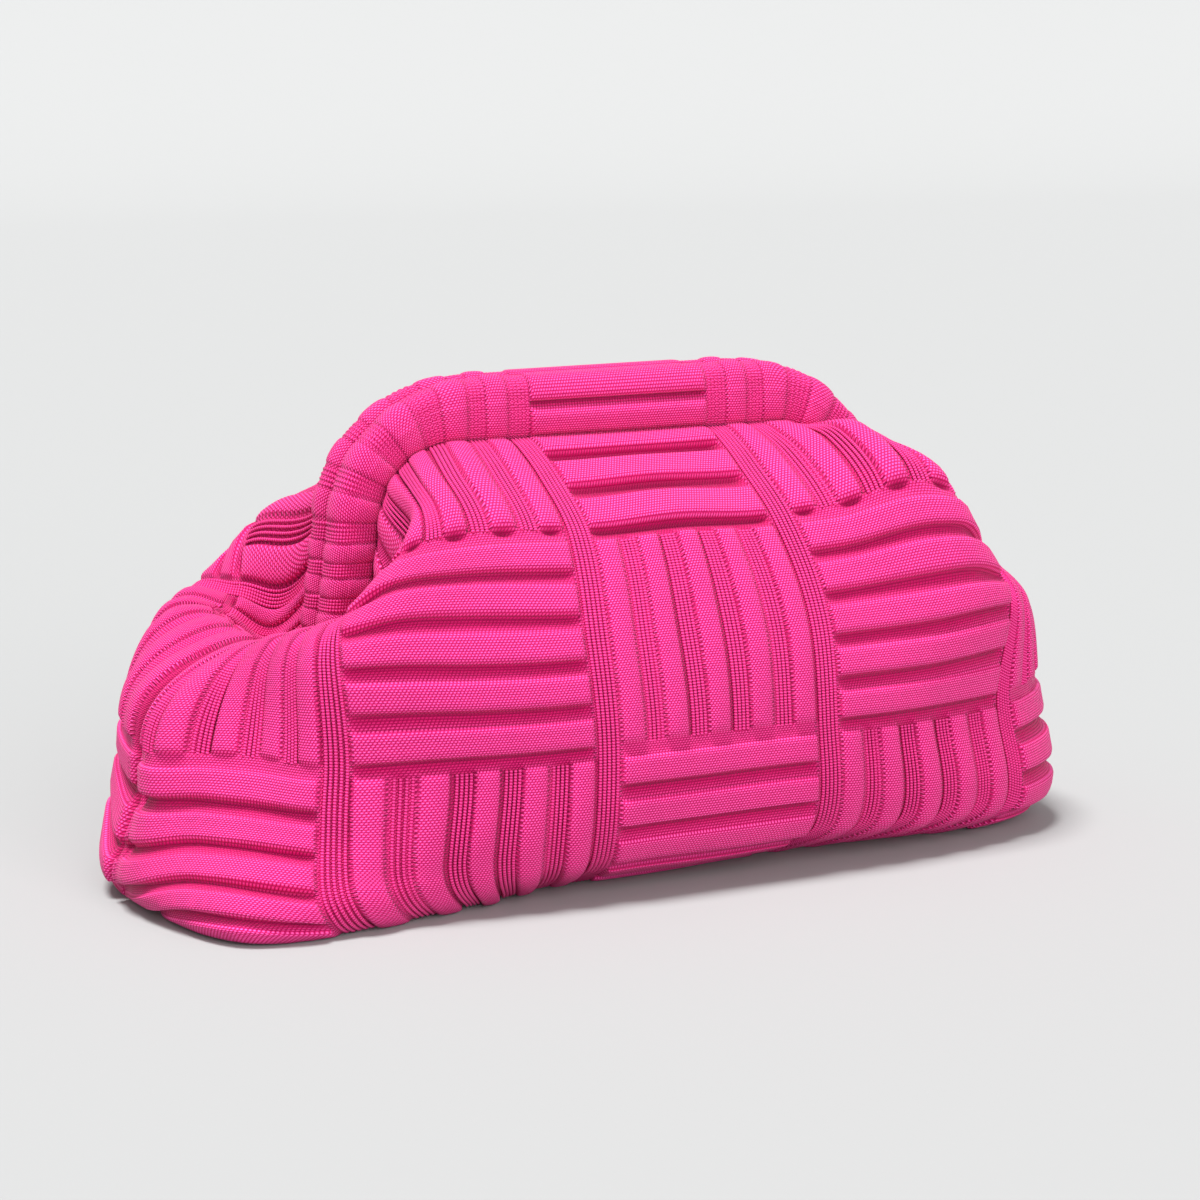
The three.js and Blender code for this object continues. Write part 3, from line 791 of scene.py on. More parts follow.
class Signal:
    """A shader socket that adds Math nodes through the usual operators."""

    def __init__(self, graph: "ShaderGraph", socket: bpy.types.NodeSocket) -> None:
        """Wraps a socket of a graph."""
        self.graph = graph
        self.socket = socket

    def __add__(self, other: "Signal | float") -> "Signal":
        """Sum."""
        return self.graph.math("ADD", self, other)

    __radd__ = __add__

    def __mul__(self, other: "Signal | float") -> "Signal":
        """Product."""
        return self.graph.math("MULTIPLY", self, other)

    __rmul__ = __mul__

    def __sub__(self, other: "Signal | float") -> "Signal":
        """Difference."""
        return self.graph.math("SUBTRACT", self, other)

    def __rsub__(self, other: float) -> "Signal":
        """Difference from a number."""
        return self.graph.math("SUBTRACT", other, self)

    def __truediv__(self, other: "Signal | float") -> "Signal":
        """Quotient."""
        return self.graph.math("DIVIDE", self, other)

    def __pow__(self, other: float) -> "Signal":
        """Power."""
        return self.graph.math("POWER", self, other)

    def __abs__(self) -> "Signal":
        """Size without sign."""
        return self.graph.math("ABSOLUTE", self)

    def fract(self) -> "Signal":
        """Part after the whole number."""
        return self.graph.math("FRACT", self)

    def sine(self) -> "Signal":
        """Sine."""
        return self.graph.math("SINE", self)

    def step(self, low: float, high: float) -> "Signal":
        """Smooth step from 0 at low to 1 at high."""
        settings = {"interpolation_type": "SMOOTHSTEP"}
        inputs = {"Value": self, "From Min": low, "From Max": high}
        return self.graph.node("ShaderNodeMapRange", settings, inputs, "Result")


class ShaderGraph:
    """The node tree of one material."""

    def __init__(self, name: str) -> None:
        """Starts an empty material of that name."""
        self.material = bpy.data.materials.new(name)
        self.material.use_nodes = True
        self.tree = self.material.node_tree
        self.tree.nodes.clear()

    def node(self, kind: str, settings: dict[str, Any], inputs: dict[Any, Any], output: Any = 0) -> Signal:
        """Adds a node.

        Args:
            kind: type of the node.
            settings: its properties, set first.
            inputs: values or links of its sockets, by name or number.
            output: the output to return, by name or number.

        Returns:
            That output.
        """
        sources = {key: value.socket if isinstance(value, Signal) else value for key, value in inputs.items()}
        return Signal(self, add_node(self.tree, kind, settings, sources).outputs[output])

    def math(self, operation: str, *values: "Signal | float") -> Signal:
        """Adds a Math node over values."""
        return self.node("ShaderNodeMath", {"operation": operation}, dict(enumerate(values)))

    def attribute(self, name: str) -> Signal:
        """Value of a named attribute of the piece."""
        return self.node("ShaderNodeAttribute", {"attribute_name": name}, {}, "Fac")

    def noise(self, vector: Signal, scale: float, detail: float) -> Signal:
        """Noise of about 0 to 1 over a vector."""
        inputs = {"Vector": vector, "Scale": scale, "Detail": detail}
        return self.node("ShaderNodeTexNoise", {}, inputs, "Fac")

    def blend(self, share: "Signal | float", low: Any, high: Any, how: str = "MIX") -> Signal:
        """Mix of two colours."""
        settings = {"data_type": "RGBA", "blend_type": how, "clamp_factor": True}
        return self.node("ShaderNodeMix", settings, {0: share, 6: low, 7: high}, 2)

    def grey(self, value: Signal) -> Signal:
        """Grey colour of a value."""
        return self.node("ShaderNodeCombineColor", {}, {0: value, 1: value, 2: value})

    def finish(self, shader: dict[str, Any]) -> bpy.types.Material:
        """Ends the tree in a Principled shader.

        Args:
            shader: values or links of the shader's sockets.

        Returns:
            The material.
        """
        surface = self.node("ShaderNodeBsdfPrincipled", {}, shader)
        end = self.tree.nodes.new("ShaderNodeOutputMaterial")
        self.tree.links.new(surface.socket, end.inputs["Surface"])
        return self.material


Colour = tuple[float, float, float, float]


@dataclass(frozen=True)
class KnitFinish:
    """Matt rib knit of fine plied yarn, with painted shade in its grooves, stitch gaps, eyelets and pits, and
    painted highlights on its stitch tops.

    Lengths are in millimetres, a noise is its scale and detail, and a step is where it starts and ends.
    """

    name: str
    pattern: KnitPattern = KnitPattern.JERSEY
    bright: Colour = (0.76, 0.014, 0.18, 1.0)
    # Painted highlight on the tops of the stitches
    tip_highlight: Colour = (0.96, 0.13, 0.5, 1.0)
    # Painted shade: the darker, redder colour of low cloth in grooves and recesses
    recess_shade: Colour = (0.54, 0.004, 0.115, 1.0)
    # Painted shade between stitch loops and on groove floors
    gap: Colour = (0.32, 0.0, 0.06, 1.0)
    # Painted shade inside the eyelets and in the pits under rib ends
    shaded_hole: Colour = (0.3, 0.0, 0.06, 1.0)
    wale: float = 1.2
    course: float = 0.85
    slant: float = 0.3
    eyelet_pitch: float = 1.6
    stitch_depth: float = 0.36
    gap_shade_share: float = 0.78
    groove_gap_shade_share: float = 0.3
    tip_highlight_share: float = 0.72
    row_shift: float = 0.5
    loop_round: float = 0.6
    tone_noise: tuple[float, float] = (130.0, 3.0)
    tone_floor: float = 0.92
    tone_spread: float = 0.16
    fuzz_noise: tuple[float, float] = (1600.0, 2.0)
    fuzz_depth: float = 0.12
    ridge_step: tuple[float, float] = (0.0, 0.8)
    # Painted shade on the floors of deep grooves
    floor_shade_level: float = 0.15
    floor_shade_step: tuple[float, float] = (0.0, 0.5)
    gap_shade_step: tuple[float, float] = (0.0, 0.75)
    tip_highlight_step: tuple[float, float] = (0.6, 1.0)
    eyelet_reach: tuple[float, float] = (0.3, 0.9)
    eyelet_step: tuple[float, float] = (0.35, 0.8)
    eyelet_shade_share: float = 0.85
    eyelet_depth: float = 0.4
    pit_step: tuple[float, float] = (0.2, 1.0)
    pit_shade_share: float = 0.75
    roughness: float = 0.62
    loop_gloss: float = 0.1
    sheen: float = 0.09
    sheen_roughness: float = 0.4
    sheen_tint: Colour = (1.0, 0.62, 0.86, 1.0)
    specular: float = 0.15

    def _jersey(self, graph: ShaderGraph) -> tuple[Signal, Signal]:
        """Rows of slanted loops over the cloth, each row half a loop on from the last.

        Args:
            graph: the material's graph.

        Returns:
            Stitch height from 0 to 1, and distance down the cloth in millimetres.
        """
        cloth = graph.node("ShaderNodeUVMap", {"uv_map": "cloth"}, {})
        across = graph.node("ShaderNodeSeparateXYZ", {}, {0: cloth}, 0) * MM_PER_METRE
        down = graph.node("ShaderNodeSeparateXYZ", {}, {0: cloth}, 1) * MM_PER_METRE
        row = down / self.course
        part = row.fract()
        side = (across / self.wale + (row - part) * self.row_shift + part * self.slant).fract()
        return ((side * math.pi).sine() * (part * math.pi).sine()) ** self.loop_round, down

    def _strand(self, graph: ShaderGraph) -> tuple[Signal, Signal]:
        """Loops along a single fine wale.

        Args:
            graph: the material's graph.

        Returns:
            Stitch height from 0 to 1, and distance along the strand in millimetres.
        """
        down = graph.attribute("along") * MM_PER_METRE
        return ((down / self.course).fract() * math.pi).sine(), down

    def make(self) -> bpy.types.Material:
        """Builds the material."""
        graph = ShaderGraph(self.name)
        place = graph.node("ShaderNodeTexCoord", {}, {}, "Object")
        jersey = self.pattern is KnitPattern.JERSEY
        stitch, down = self._jersey(graph) if jersey else self._strand(graph)
        tone = graph.noise(place, *self.tone_noise)
        fuzz = graph.noise(place, *self.fuzz_noise)
        # Painted shade: the lower the relief, the more the colour turns from bright to the painted recess
        # shade
        height = graph.attribute("ridge_shade")
        ridge_shade = height.step(*self.ridge_step)
        colour = graph.blend(ridge_shade, self.recess_shade, self.bright)
        # Painted shade: groove floors below the floor level turn towards the dark gap colour
        colour = graph.blend((self.floor_shade_level - height).step(*self.floor_shade_step), colour, self.gap)
        # Painted shade between the stitch loops, stronger in the grooves
        between = 1.0 - stitch.step(*self.gap_shade_step)
        between = between * (self.gap_shade_share + (1.0 - ridge_shade) * self.groove_gap_shade_share)
        colour = graph.blend(between, colour, self.gap)
        # Painted highlight on the stitch tops of the raised ribs
        colour = graph.blend(stitch.step(*self.tip_highlight_step) * ridge_shade * self.tip_highlight_share, colour, self.tip_highlight)
        shade = graph.grey(tone * self.tone_spread + self.tone_floor)
        colour = graph.blend(1.0, colour, shade, "MULTIPLY")
        bumps = stitch * self.stitch_depth + fuzz * self.fuzz_depth
        if jersey:
            near = 1.0 - graph.attribute("eyelet").step(*self.eyelet_reach)
            dots = (((down / self.eyelet_pitch).fract() - 0.5) * math.pi).sine()
            shaded_hole = near * (1.0 - abs(dots)).step(*self.eyelet_step)
            # Painted shade inside the eyelet holes
            colour = graph.blend(shaded_hole * self.eyelet_shade_share, colour, self.shaded_hole)
            pit = graph.attribute("pit").step(*self.pit_step)
            # Painted shade in the pits under the ends of the upright ribs
            colour = graph.blend(pit * self.pit_shade_share, colour, self.shaded_hole)
            bumps = bumps - shaded_hole * self.eyelet_depth
        bump = graph.node("ShaderNodeBump", {}, {"Strength": 1.0, "Distance": MM, "Height": bumps})
        return graph.finish({
            "Base Color": colour,
            "Roughness": self.roughness - stitch * self.loop_gloss,
            "Normal": bump,
            "Sheen Weight": self.sheen,
            "Sheen Roughness": self.sheen_roughness,
            "Sheen Tint": self.sheen_tint,
            "Specular IOR Level": self.specular,
        })


@dataclass(frozen=True)
class SteelFinish:
    """Satin plated steel bar with fine draw lines."""

    name: str = "satin_frame_steel"
    pale: Colour = (0.56, 0.57, 0.6, 1.0)
    dark: Colour = (0.36, 0.37, 0.4, 1.0)
    line_stretch: tuple[float, float, float] = (40.0, 900.0, 900.0)
    line_noise: tuple[float, float] = (1.0, 3.0)
    line_share: float = 0.6
    line_depth: float = 0.1
    line_strength: float = 0.3
    wear_noise: tuple[float, float] = (60.0, 4.0)
    wear_share: float = 0.4
    roughness: float = 0.28
    wear_roughness: float = 0.2

    def make(self) -> bpy.types.Material:
        """Builds the material."""
        graph = ShaderGraph(self.name)
        place = graph.node("ShaderNodeTexCoord", {}, {}, "Object")
        drawn = graph.node("ShaderNodeMapping", {}, {"Vector": place, "Scale": self.line_stretch})
        lines = graph.noise(drawn, *self.line_noise)
        wear = graph.noise(place, *self.wear_noise)
        relief = {"Strength": self.line_strength, "Distance": self.line_depth * MM, "Height": lines}
        return graph.finish({
            "Base Color": graph.blend(lines * self.line_share + wear * self.wear_share, self.dark, self.pale),
            "Metallic": 1.0,
            "Roughness": self.roughness + wear * self.wear_roughness,
            "Normal": graph.node("ShaderNodeBump", {}, relief),
        })


@dataclass(frozen=True)
class FloorFinish:
    """Plain pale studio floor."""

    name: str = "pale_floor"
    colour: Colour = (0.336, 0.336, 0.336, 1.0)
    grain_noise: tuple[float, float] = (3.0, 2.0)
    grain_roughness: float = 0.1
    roughness: float = 0.85

    def make(self) -> bpy.types.Material:
        """Builds the material."""
        graph = ShaderGraph(self.name)
        place = graph.node("ShaderNodeTexCoord", {}, {}, "Object")
        rough = graph.noise(place, *self.grain_noise) * self.grain_roughness + self.roughness
        return graph.finish({"Base Color": self.colour, "Roughness": rough, "Specular IOR Level": 0.0})


def add_object(name: str, data: bpy.types.ID) -> bpy.types.Object:
    """Adds an object of that data to the scene, at the origin."""
    added = bpy.data.objects.new(name, data)
    bpy.context.scene.collection.objects.link(added)
    return added


def mesh_object(name: str, spots: np.ndarray, faces: Sequence[Sequence[int]]) -> bpy.types.Object:
    """Adds a mesh object at the origin.

    Args:
        name: name of the piece.
        spots: its points in metres.
        faces: its faces as lists of point numbers.

    Returns:
        The linked object, shaded smooth.
    """
    mesh = bpy.data.meshes.new(name)
    mesh.from_pydata(spots.tolist(), [], faces)
    mesh.polygons.foreach_set("use_smooth", [True] * len(mesh.polygons))
    mesh.update()
    return add_object(name, mesh)


def store_values(mesh: bpy.types.Mesh, name: str, values: np.ndarray) -> None:
    """Stores one number for each point of a mesh."""
    mesh.attributes.new(name, "FLOAT", "POINT").data.foreach_set("value", values.astype(np.float32))


def store_cloth(
    mesh: bpy.types.Mesh, across: np.ndarray, down: np.ndarray, round_trip: float = math.inf
) -> None:
    """Stores the cloth coordinates as a UV map that closes round the loop.

    Args:
        mesh: the mesh.
        across: cloth distance round the bag for each point, in metres.
        down: cloth distance down for each point, in metres.
        round_trip: length of the whole loop, in metres, where the cloth is a loop.
    """
    corners = np.empty(len(mesh.loops), np.int32)
    mesh.loops.foreach_get("vertex_index", corners)
    u = across[corners]
    starts = np.empty(len(mesh.polygons), np.int32)
    totals = np.empty(len(mesh.polygons), np.int32)
    mesh.polygons.foreach_get("loop_start", starts)
    mesh.polygons.foreach_get("loop_total", totals)
    owner = np.repeat(np.arange(len(starts)), totals)
    highest = np.full(len(starts), -np.inf)
    np.maximum.at(highest, owner, u)
    u = np.where(highest[owner] - u > round_trip / 2, u + round_trip, u)
    layer = mesh.uv_layers.new(name="cloth")
    layer.data.foreach_set("uv", np.stack([u, down[corners]], axis=-1).astype(np.float32).ravel())


def merge_doubles(piece: bpy.types.Object, distance: float = 2e-6) -> None:
    """Welds the points of a piece that lie in one place."""
    work = bmesh.new()
    work.from_mesh(piece.data)
    bmesh.ops.remove_doubles(work, verts=work.verts, dist=distance)
    work.to_mesh(piece.data)
    work.free()


@dataclass
class KnitBody:
    """The soft bag itself: padded ribs outside, a plain wall inside."""

    form: ClothForm
    ribs: BasketRibs
    wall: float = 3.0
    inner_step: int = 4
    base_lines: tuple[float, ...] = (200.0, 208.0, 220.0, 232.0, 244.0)
    sway: Waviness = Waviness(11)
    stray: Waviness = Waviness(23)
    puff: Waviness = Waviness(37)
    sway_size: float = 0.3
    puff_size: float = 0.25
    puff_share: float = 0.1
    free_from: tuple[float, float] = (4.0, 30.0)
    free_to: tuple[float, float] = (170.0, 195.0)
    # Painted shade level of the inner wall, part way to the darker recess colour
    inner_ridge_shade: float = 0.5
    flat: tuple[float, float] = (0.44, 0.488)

    def outside(self) -> tuple[np.ndarray, ...]:
        """Points of the outer side.

        Returns:
            Places in metres, loops, drops, heights of the relief, eyelet distances and pits, all as grids.
        """
        loop, drop = np.meshgrid(self.ribs.across_lines(), self.ribs.down_lines(self.base_lines))
        height, eyelet, pit = self.ribs.relief(loop, drop)
        swayed, dropped, puff = self.settled(loop, drop)
        fuller = 1.0 + self.puff_share * self.puff.at(loop, drop)
        lift = height * self.strength_at(swayed, dropped) * fuller + puff
        spots = self.form.point(swayed, dropped)
        spots = spots + lift[..., None] * self.form.normal(swayed, dropped)
        return self.form.to_metres(spots), loop, drop, height, eyelet, pit

    def strength_at(self, loop: np.ndarray, drop: np.ndarray) -> np.ndarray:
        """Share of the relief at places round the bag and drops."""
        return self.ribs.strength(self.form.column_at(np.mod(loop, LOOP_COLUMNS)), drop)

    def wale_line(self, loop: float, start: float, end: float, step: float, raise_by: float) -> np.ndarray:
        """Path of one fine wale down the cloth.

        Args:
            loop: its place round the bag.
            start: drop where it starts.
            end: drop where it ends.
            step: distance between its points in millimetres.
            raise_by: height over the cloth in millimetres.

        Returns:
            Points in metres.
        """
        drop = np.linspace(start, end, int((end - start) / step) + 2)
        loops = np.full_like(drop, loop)
        swayed, dropped, puff = self.settled(loops, drop)
        lift = self.ribs.plain * self.strength_at(swayed, dropped) + puff + raise_by
        spots = self.form.point(swayed, dropped) + lift[:, None] * self.form.normal(swayed, dropped)
        return self.form.to_metres(spots)

    def settled(self, loop: np.ndarray, drop: np.ndarray) -> tuple[np.ndarray, np.ndarray, np.ndarray]:
        """Where the cloth has strayed to.

        Args:
            loop: places round the bag in the knitted pattern.
            drop: drops below the seam in the knitted pattern.

        Returns:
            Places round the bag, drops, and how far the cloth puffs out in millimetres.
        """
        free = smooth(*self.free_from, drop) * (1.0 - smooth(*self.free_to, drop))
        swayed = loop + self.sway.at(loop, drop) * free * self.sway_size / self.ribs.tile_width
        dropped = drop + self.stray.at(loop, drop) * free * self.sway_size
        return swayed, dropped, free * self.puff_size * self.puff.at(loop, drop)

    def inside(self, lines: np.ndarray) -> tuple[np.ndarray, np.ndarray]:
        """Points of the inner side.

        Args:
            lines: loops of its mesh lines.

        Returns:
            Places in metres as a grid, and its drops.
        """
        rings = self.form.drops
        drops = np.sort(np.concatenate([rings, (rings[1:] + rings[:-1]) / 2]))
        loop, drop = np.meshgrid(lines, drops)
        spots = self.form.point(loop, drop) - self.wall * self.form.normal(loop, drop)
        return self.form.to_metres(spots), drops

    def _faces(self, rows: int, count: int, inner_rows: int) -> list[tuple[int, ...]]:
        """Faces of the shell.

        Args:
            rows: mesh lines down the outer side.
            count: mesh lines round the outer side.
            inner_rows: mesh lines down the inner side.

        Returns:
            Faces of the outer side, the inner side, and the edge that joins them at the mouth.
        """
        first = rows * count
        inner_count = count // self.inner_step
        faces: list[tuple[int, ...]] = []
        for j in range(rows - 1):
            for i in range(count):
                k = (i + 1) % count
                faces.append((j * count + i, (j + 1) * count + i, (j + 1) * count + k, j * count + k))
        for j in range(inner_rows - 1):
            start = first + j * inner_count
            for i in range(inner_count):
                k = (i + 1) % inner_count
                faces.append((start + i, start + k, start + inner_count + k, start + inner_count + i))
        for i in range(inner_count):
            k = first + (i + 1) % inner_count
            edge = [(i * self.inner_step + n) % count for n in range(self.inner_step + 1)]
            faces += [(first + i, a, b) for a, b in zip(edge[:-1], edge[1:])]
            faces.append((first + i, edge[-1], k))
        return faces

    def build(self) -> bpy.types.Object:
        """Builds the closed shell with its cloth coordinates.

        Returns:
            The body piece.
        """
        outer, loop, drop, height, eyelet, pit = self.outside()
        inner_lines = loop[0, :: self.inner_step]
        inner, inner_drops = self.inside(inner_lines)
        spots = np.concatenate([outer.reshape(-1, 3), inner.reshape(-1, 3)])
        piece = mesh_object("knit_bag", spots, self._faces(*loop.shape, len(inner_drops)))
        inner_loop, inner_drop = np.meshgrid(inner_lines, inner_drops)
        width = self.ribs.tile_width * MM
        across = np.concatenate([loop.ravel(), inner_loop.ravel()]) * width
        down = np.concatenate([drop.ravel(), inner_drop.ravel()]) * MM
        store_cloth(piece.data, across, down, LOOP_COLUMNS * width)
        plain = np.zeros(inner_loop.size)
        # Relief height as a share of a full rib, which sets the painted shade
        ridge_shade = height.ravel() / self.ribs.full
        store_values(piece.data, "ridge_shade", np.concatenate([ridge_shade, plain + self.inner_ridge_shade]))
        store_values(piece.data, "eyelet", np.concatenate([eyelet.ravel(), plain + FAR_FROM_EYELETS]))
        store_values(piece.data, "pit", np.concatenate([pit.ravel(), plain]))
        merge_doubles(piece)
        return piece


@dataclass
class MouthCasing:
    """The top edge of one face, turned over the arched frame and sewn down.

    Each row of the section gives its distance out, its depth, and its shares of the ribs and of the bands.
    Each row of the cavity gives the distance out and the depth of the inner side there.
    """

    form: ClothForm
    ribs: BasketRibs
    face: Face
    end_column: float = 2.27
    rib_height: float = 1.15
    band_height: float = 2.4
    eyelet_fade: float = 0.3
    corner_slack: float = 0.2
    rise_to_right: float = 0.03
    outer_points: int = 46
    turn_over: tuple[float, float] = (11.0, 21.0)
    rear_depth: float = 5.0
    corner_columns: tuple[float, float] = (0.65, 1.1)
    end_slack: float = 0.25
    end_run: float = 0.12
    end_margin: float = 0.01
    # Painted shade level of the plain, unraised parts of the casing
    plain_ridge_shade: float = 0.5
    wale_start: int = 2
    wale_stop: int = -4
    flat: tuple[float, float] = (0.35, 0.045)
    section: tuple[tuple[float, float, float, float], ...] = (
        (-1.6, 9.6, 0.0, 0.0),
        (0.2, 10.9, 0.1, 0.1),
        (2.0, 12.2, 0.7, 0.8),
        (4.6, 12.8, 1.0, 1.0),
        (8.0, 12.9, 1.0, 1.0),
        (10.0, 12.8, 1.0, 0.5),
        (12.6, 12.7, 1.0, -1.0),
        (13.6, 12.5, 1.0, 0.8),
        (17.2, 12.0, 1.0, 1.0),
        (20.0, 10.4, 1.0, 0.7),
        (21.4, 7.6, 0.9, 0.3),
        (21.2, 4.2, 0.6, 0.1),
        (16.0, 0.5, 0.3, 0.0),
        (7.0, 0.4, 0.2, 0.0),
        (0.0, 0.6, 0.0, 0.0),
    )
    cavity: tuple[tuple[float, float], ...] = (
        (-1.6, 8.8),
        (0.2, 9.3),
        (2.0, 9.8),
        (4.6, 10.0),
        (8.0, 10.0),
        (10.6, 10.0),
        (12.0, 10.0),
        (13.6, 10.0),
        (16.2, 9.6),
        (17.6, 8.4),
        (18.2, 7.0),
        (17.8, 5.4),
        (14.0, 5.0),
        (7.0, 5.0),
        (0.0, 5.0),
    )

    def _profile(self) -> tuple[np.ndarray, np.ndarray]:
        """Outer and inner lines of the section, with the same number of points.

        Returns:
            Rows of out, depth, rib and band for the outside; out and depth for the inside.
        """
        rows = np.array(self.section)
        knots = np.arange(len(rows), dtype=float)
        at = np.linspace(0.0, len(rows) - 1.0, self.outer_points)
        i = np.clip(np.floor(at).astype(int), 0, len(rows) - 2)
        near = [np.maximum(i - 1, 0), i, i + 1, np.minimum(i + 2, len(rows) - 1)]
        outer = hermite([rows[k] for k in near], [knots[k] for k in near], at)
        hollow = np.array(self.cavity)
        inner = np.stack([np.interp(at, knots, hollow[:, k]) for k in (0, 1)], axis=-1)
        return outer, inner

    def _stations(self) -> tuple[np.ndarray, np.ndarray, np.ndarray, np.ndarray]:
        """Stations along the arch.

        Returns:
            Columns, the relief of upright ribs, the relief of level bands and the eyelet distances.
        """
        loops = self.ribs.across_lines()
        columns = loops[loops <= FACE_COLUMNS] - HALF_FACE
        columns = columns[np.abs(columns) < self.end_column - self.end_margin]
        columns = np.concatenate([[-self.end_column], columns, [self.end_column]])
        front = self.face is Face.FRONT
        loop = columns + HALF_FACE if front else LOOP_COLUMNS - HALF_FACE - columns
        part = (np.mod(loop, 1.0) - self.ribs.divider / 2) / (1.0 - self.ribs.divider)
        inside = (part > 0) & (part < 1)
        level = np.floor(np.abs(columns) + 0.5).astype(int) == 0
        rib, edge, _ = self.ribs.standing(part)
        side = np.minimum(part, 1.0 - part) * self.ribs.tile_width
        band = self.ribs.ends(np.maximum(side, 0.0), self.ribs.round_end) * inside * level
        eyelet = np.where(level, np.abs(side), np.minimum(edge, np.abs(side)))
        return columns, rib * inside * ~level, band, eyelet

    def _faces(self, stations: int, points: int) -> list[tuple[int, ...]]:
        """Faces of the channel.

        Args:
            stations: sections along the arch.
            points: points on the outer line of a section, as many as on its inner line.

        Returns:
            Faces of both sides, of the two long edges and of the two ends.
        """
        second = stations * points
        faces: list[tuple[int, ...]] = []
        for s in range(stations - 1):
            a, b = s * points, (s + 1) * points
            for p in range(points - 1):
                faces.append((a + p, b + p, b + p + 1, a + p + 1))
                faces.append((second + a + p, second + a + p + 1, second + b + p + 1, second + b + p))
            faces.append((a, second + a, second + b, b))
            last = points - 1
            faces.append((a + last, b + last, second + b + last, second + a + last))
        for p in range(points - 1):
            faces.append((p, p + 1, second + p + 1, second + p))
            e = (stations - 1) * points + p
            faces.append((e, second + e, second + e + 1, e + 1))
        if self.face is Face.BACK:
            faces = [tuple(reversed(each)) for each in faces]
        return faces

    def build(self) -> bpy.types.Object:
        """Builds the closed channel with its cloth coordinates.

        Returns:
            The casing piece.
        """
        outer, inner = self._profile()
        columns, rib, band, eyelet = self._stations()
        upright = self.rib_height * rib[:, None] * outer[None, :, 2]
        level = self.band_height * band[:, None] * outer[None, :, 3]
        lift = upright + level
        lean = smooth(*self.turn_over, outer[:, 0])[None, :]
        rear = outer[None, :, 1] < self.rear_depth
        taper = self.fullness(columns)[:, None]
        out = (outer[None, :, 0] + lift * lean) * taper
        depth = outer[None, :, 1] + np.where(rear, 0.0, lift * (1.0 - lean))
        column = np.broadcast_to(columns[:, None], out.shape)
        outside = self.form.arch.frame(column, self.face, out, depth)
        hollow_depth = np.broadcast_to(inner[None, :, 1], out.shape)
        inside = self.form.arch.frame(column, self.face, inner[None, :, 0] * taper, hollow_depth)
        spots = self.form.to_metres(np.concatenate([outside.reshape(-1, 3), inside.reshape(-1, 3)]))
        piece = mesh_object(f"{self.face.name.lower()}_mouth_casing", spots, self._faces(*out.shape))
        around = np.concatenate([[0.0], np.cumsum(np.hypot(*np.diff(outer[:, :2], axis=0).T))])
        down = np.broadcast_to(-around[None, :], out.shape).ravel() * MM
        across = (columns[:, None] + HALF_FACE) * self.ribs.tile_width
        across = np.broadcast_to(across, out.shape).ravel() * MM
        store_cloth(piece.data, np.tile(across, 2), np.tile(down, 2))
        # Painted shade: raised ribs and bands get the bright colour, plain casing is painted darker
        raised = rib[:, None] * outer[None, :, 2] + band[:, None] * outer[None, :, 3]
        shown = np.clip(self.plain_ridge_shade + (1.0 - self.plain_ridge_shade) * raised, 0.0, 1.0).ravel()
        dots = np.broadcast_to(eyelet[:, None] + self.eyelet_fade, out.shape).ravel()
        plain = np.zeros(out.size)
        store_values(piece.data, "ridge_shade", np.concatenate([shown, plain]))
        store_values(piece.data, "eyelet", np.concatenate([dots, plain + FAR_FROM_EYELETS]))
        return piece

    def fullness(self, column: np.ndarray) -> np.ndarray:
        """Share of the section's height: full over the top, less round the corners and at the ends."""
        reach = np.abs(column)
        corner = self.corner_slack * smooth(*self.corner_columns, reach)
        slope = self.rise_to_right * np.clip(column, -1.0, 1.0)
        end = self.end_slack * smooth(self.end_column - self.end_run, self.end_column, reach)
        return (1.0 - corner + slope) * (1.0 - end)

    def wale_line(self, column: float, raise_by: float) -> np.ndarray:
        """Path of one fine wale across the casing, from the seam over the top.

        Args:
            column: place along the arch.
            raise_by: height over the casing in millimetres.

        Returns:
            Points in metres.
        """
        outer = self._profile()[0][self.wale_start : self.wale_stop]
        lean = smooth(*self.turn_over, outer[:, 0])
        columns = np.full(len(outer), column)
        out = (outer[:, 0] + raise_by * lean) * self.fullness(columns)
        spots = self.form.arch.frame(columns, self.face, out, outer[:, 1] + raise_by * (1.0 - lean))
        return self.form.to_metres(spots)


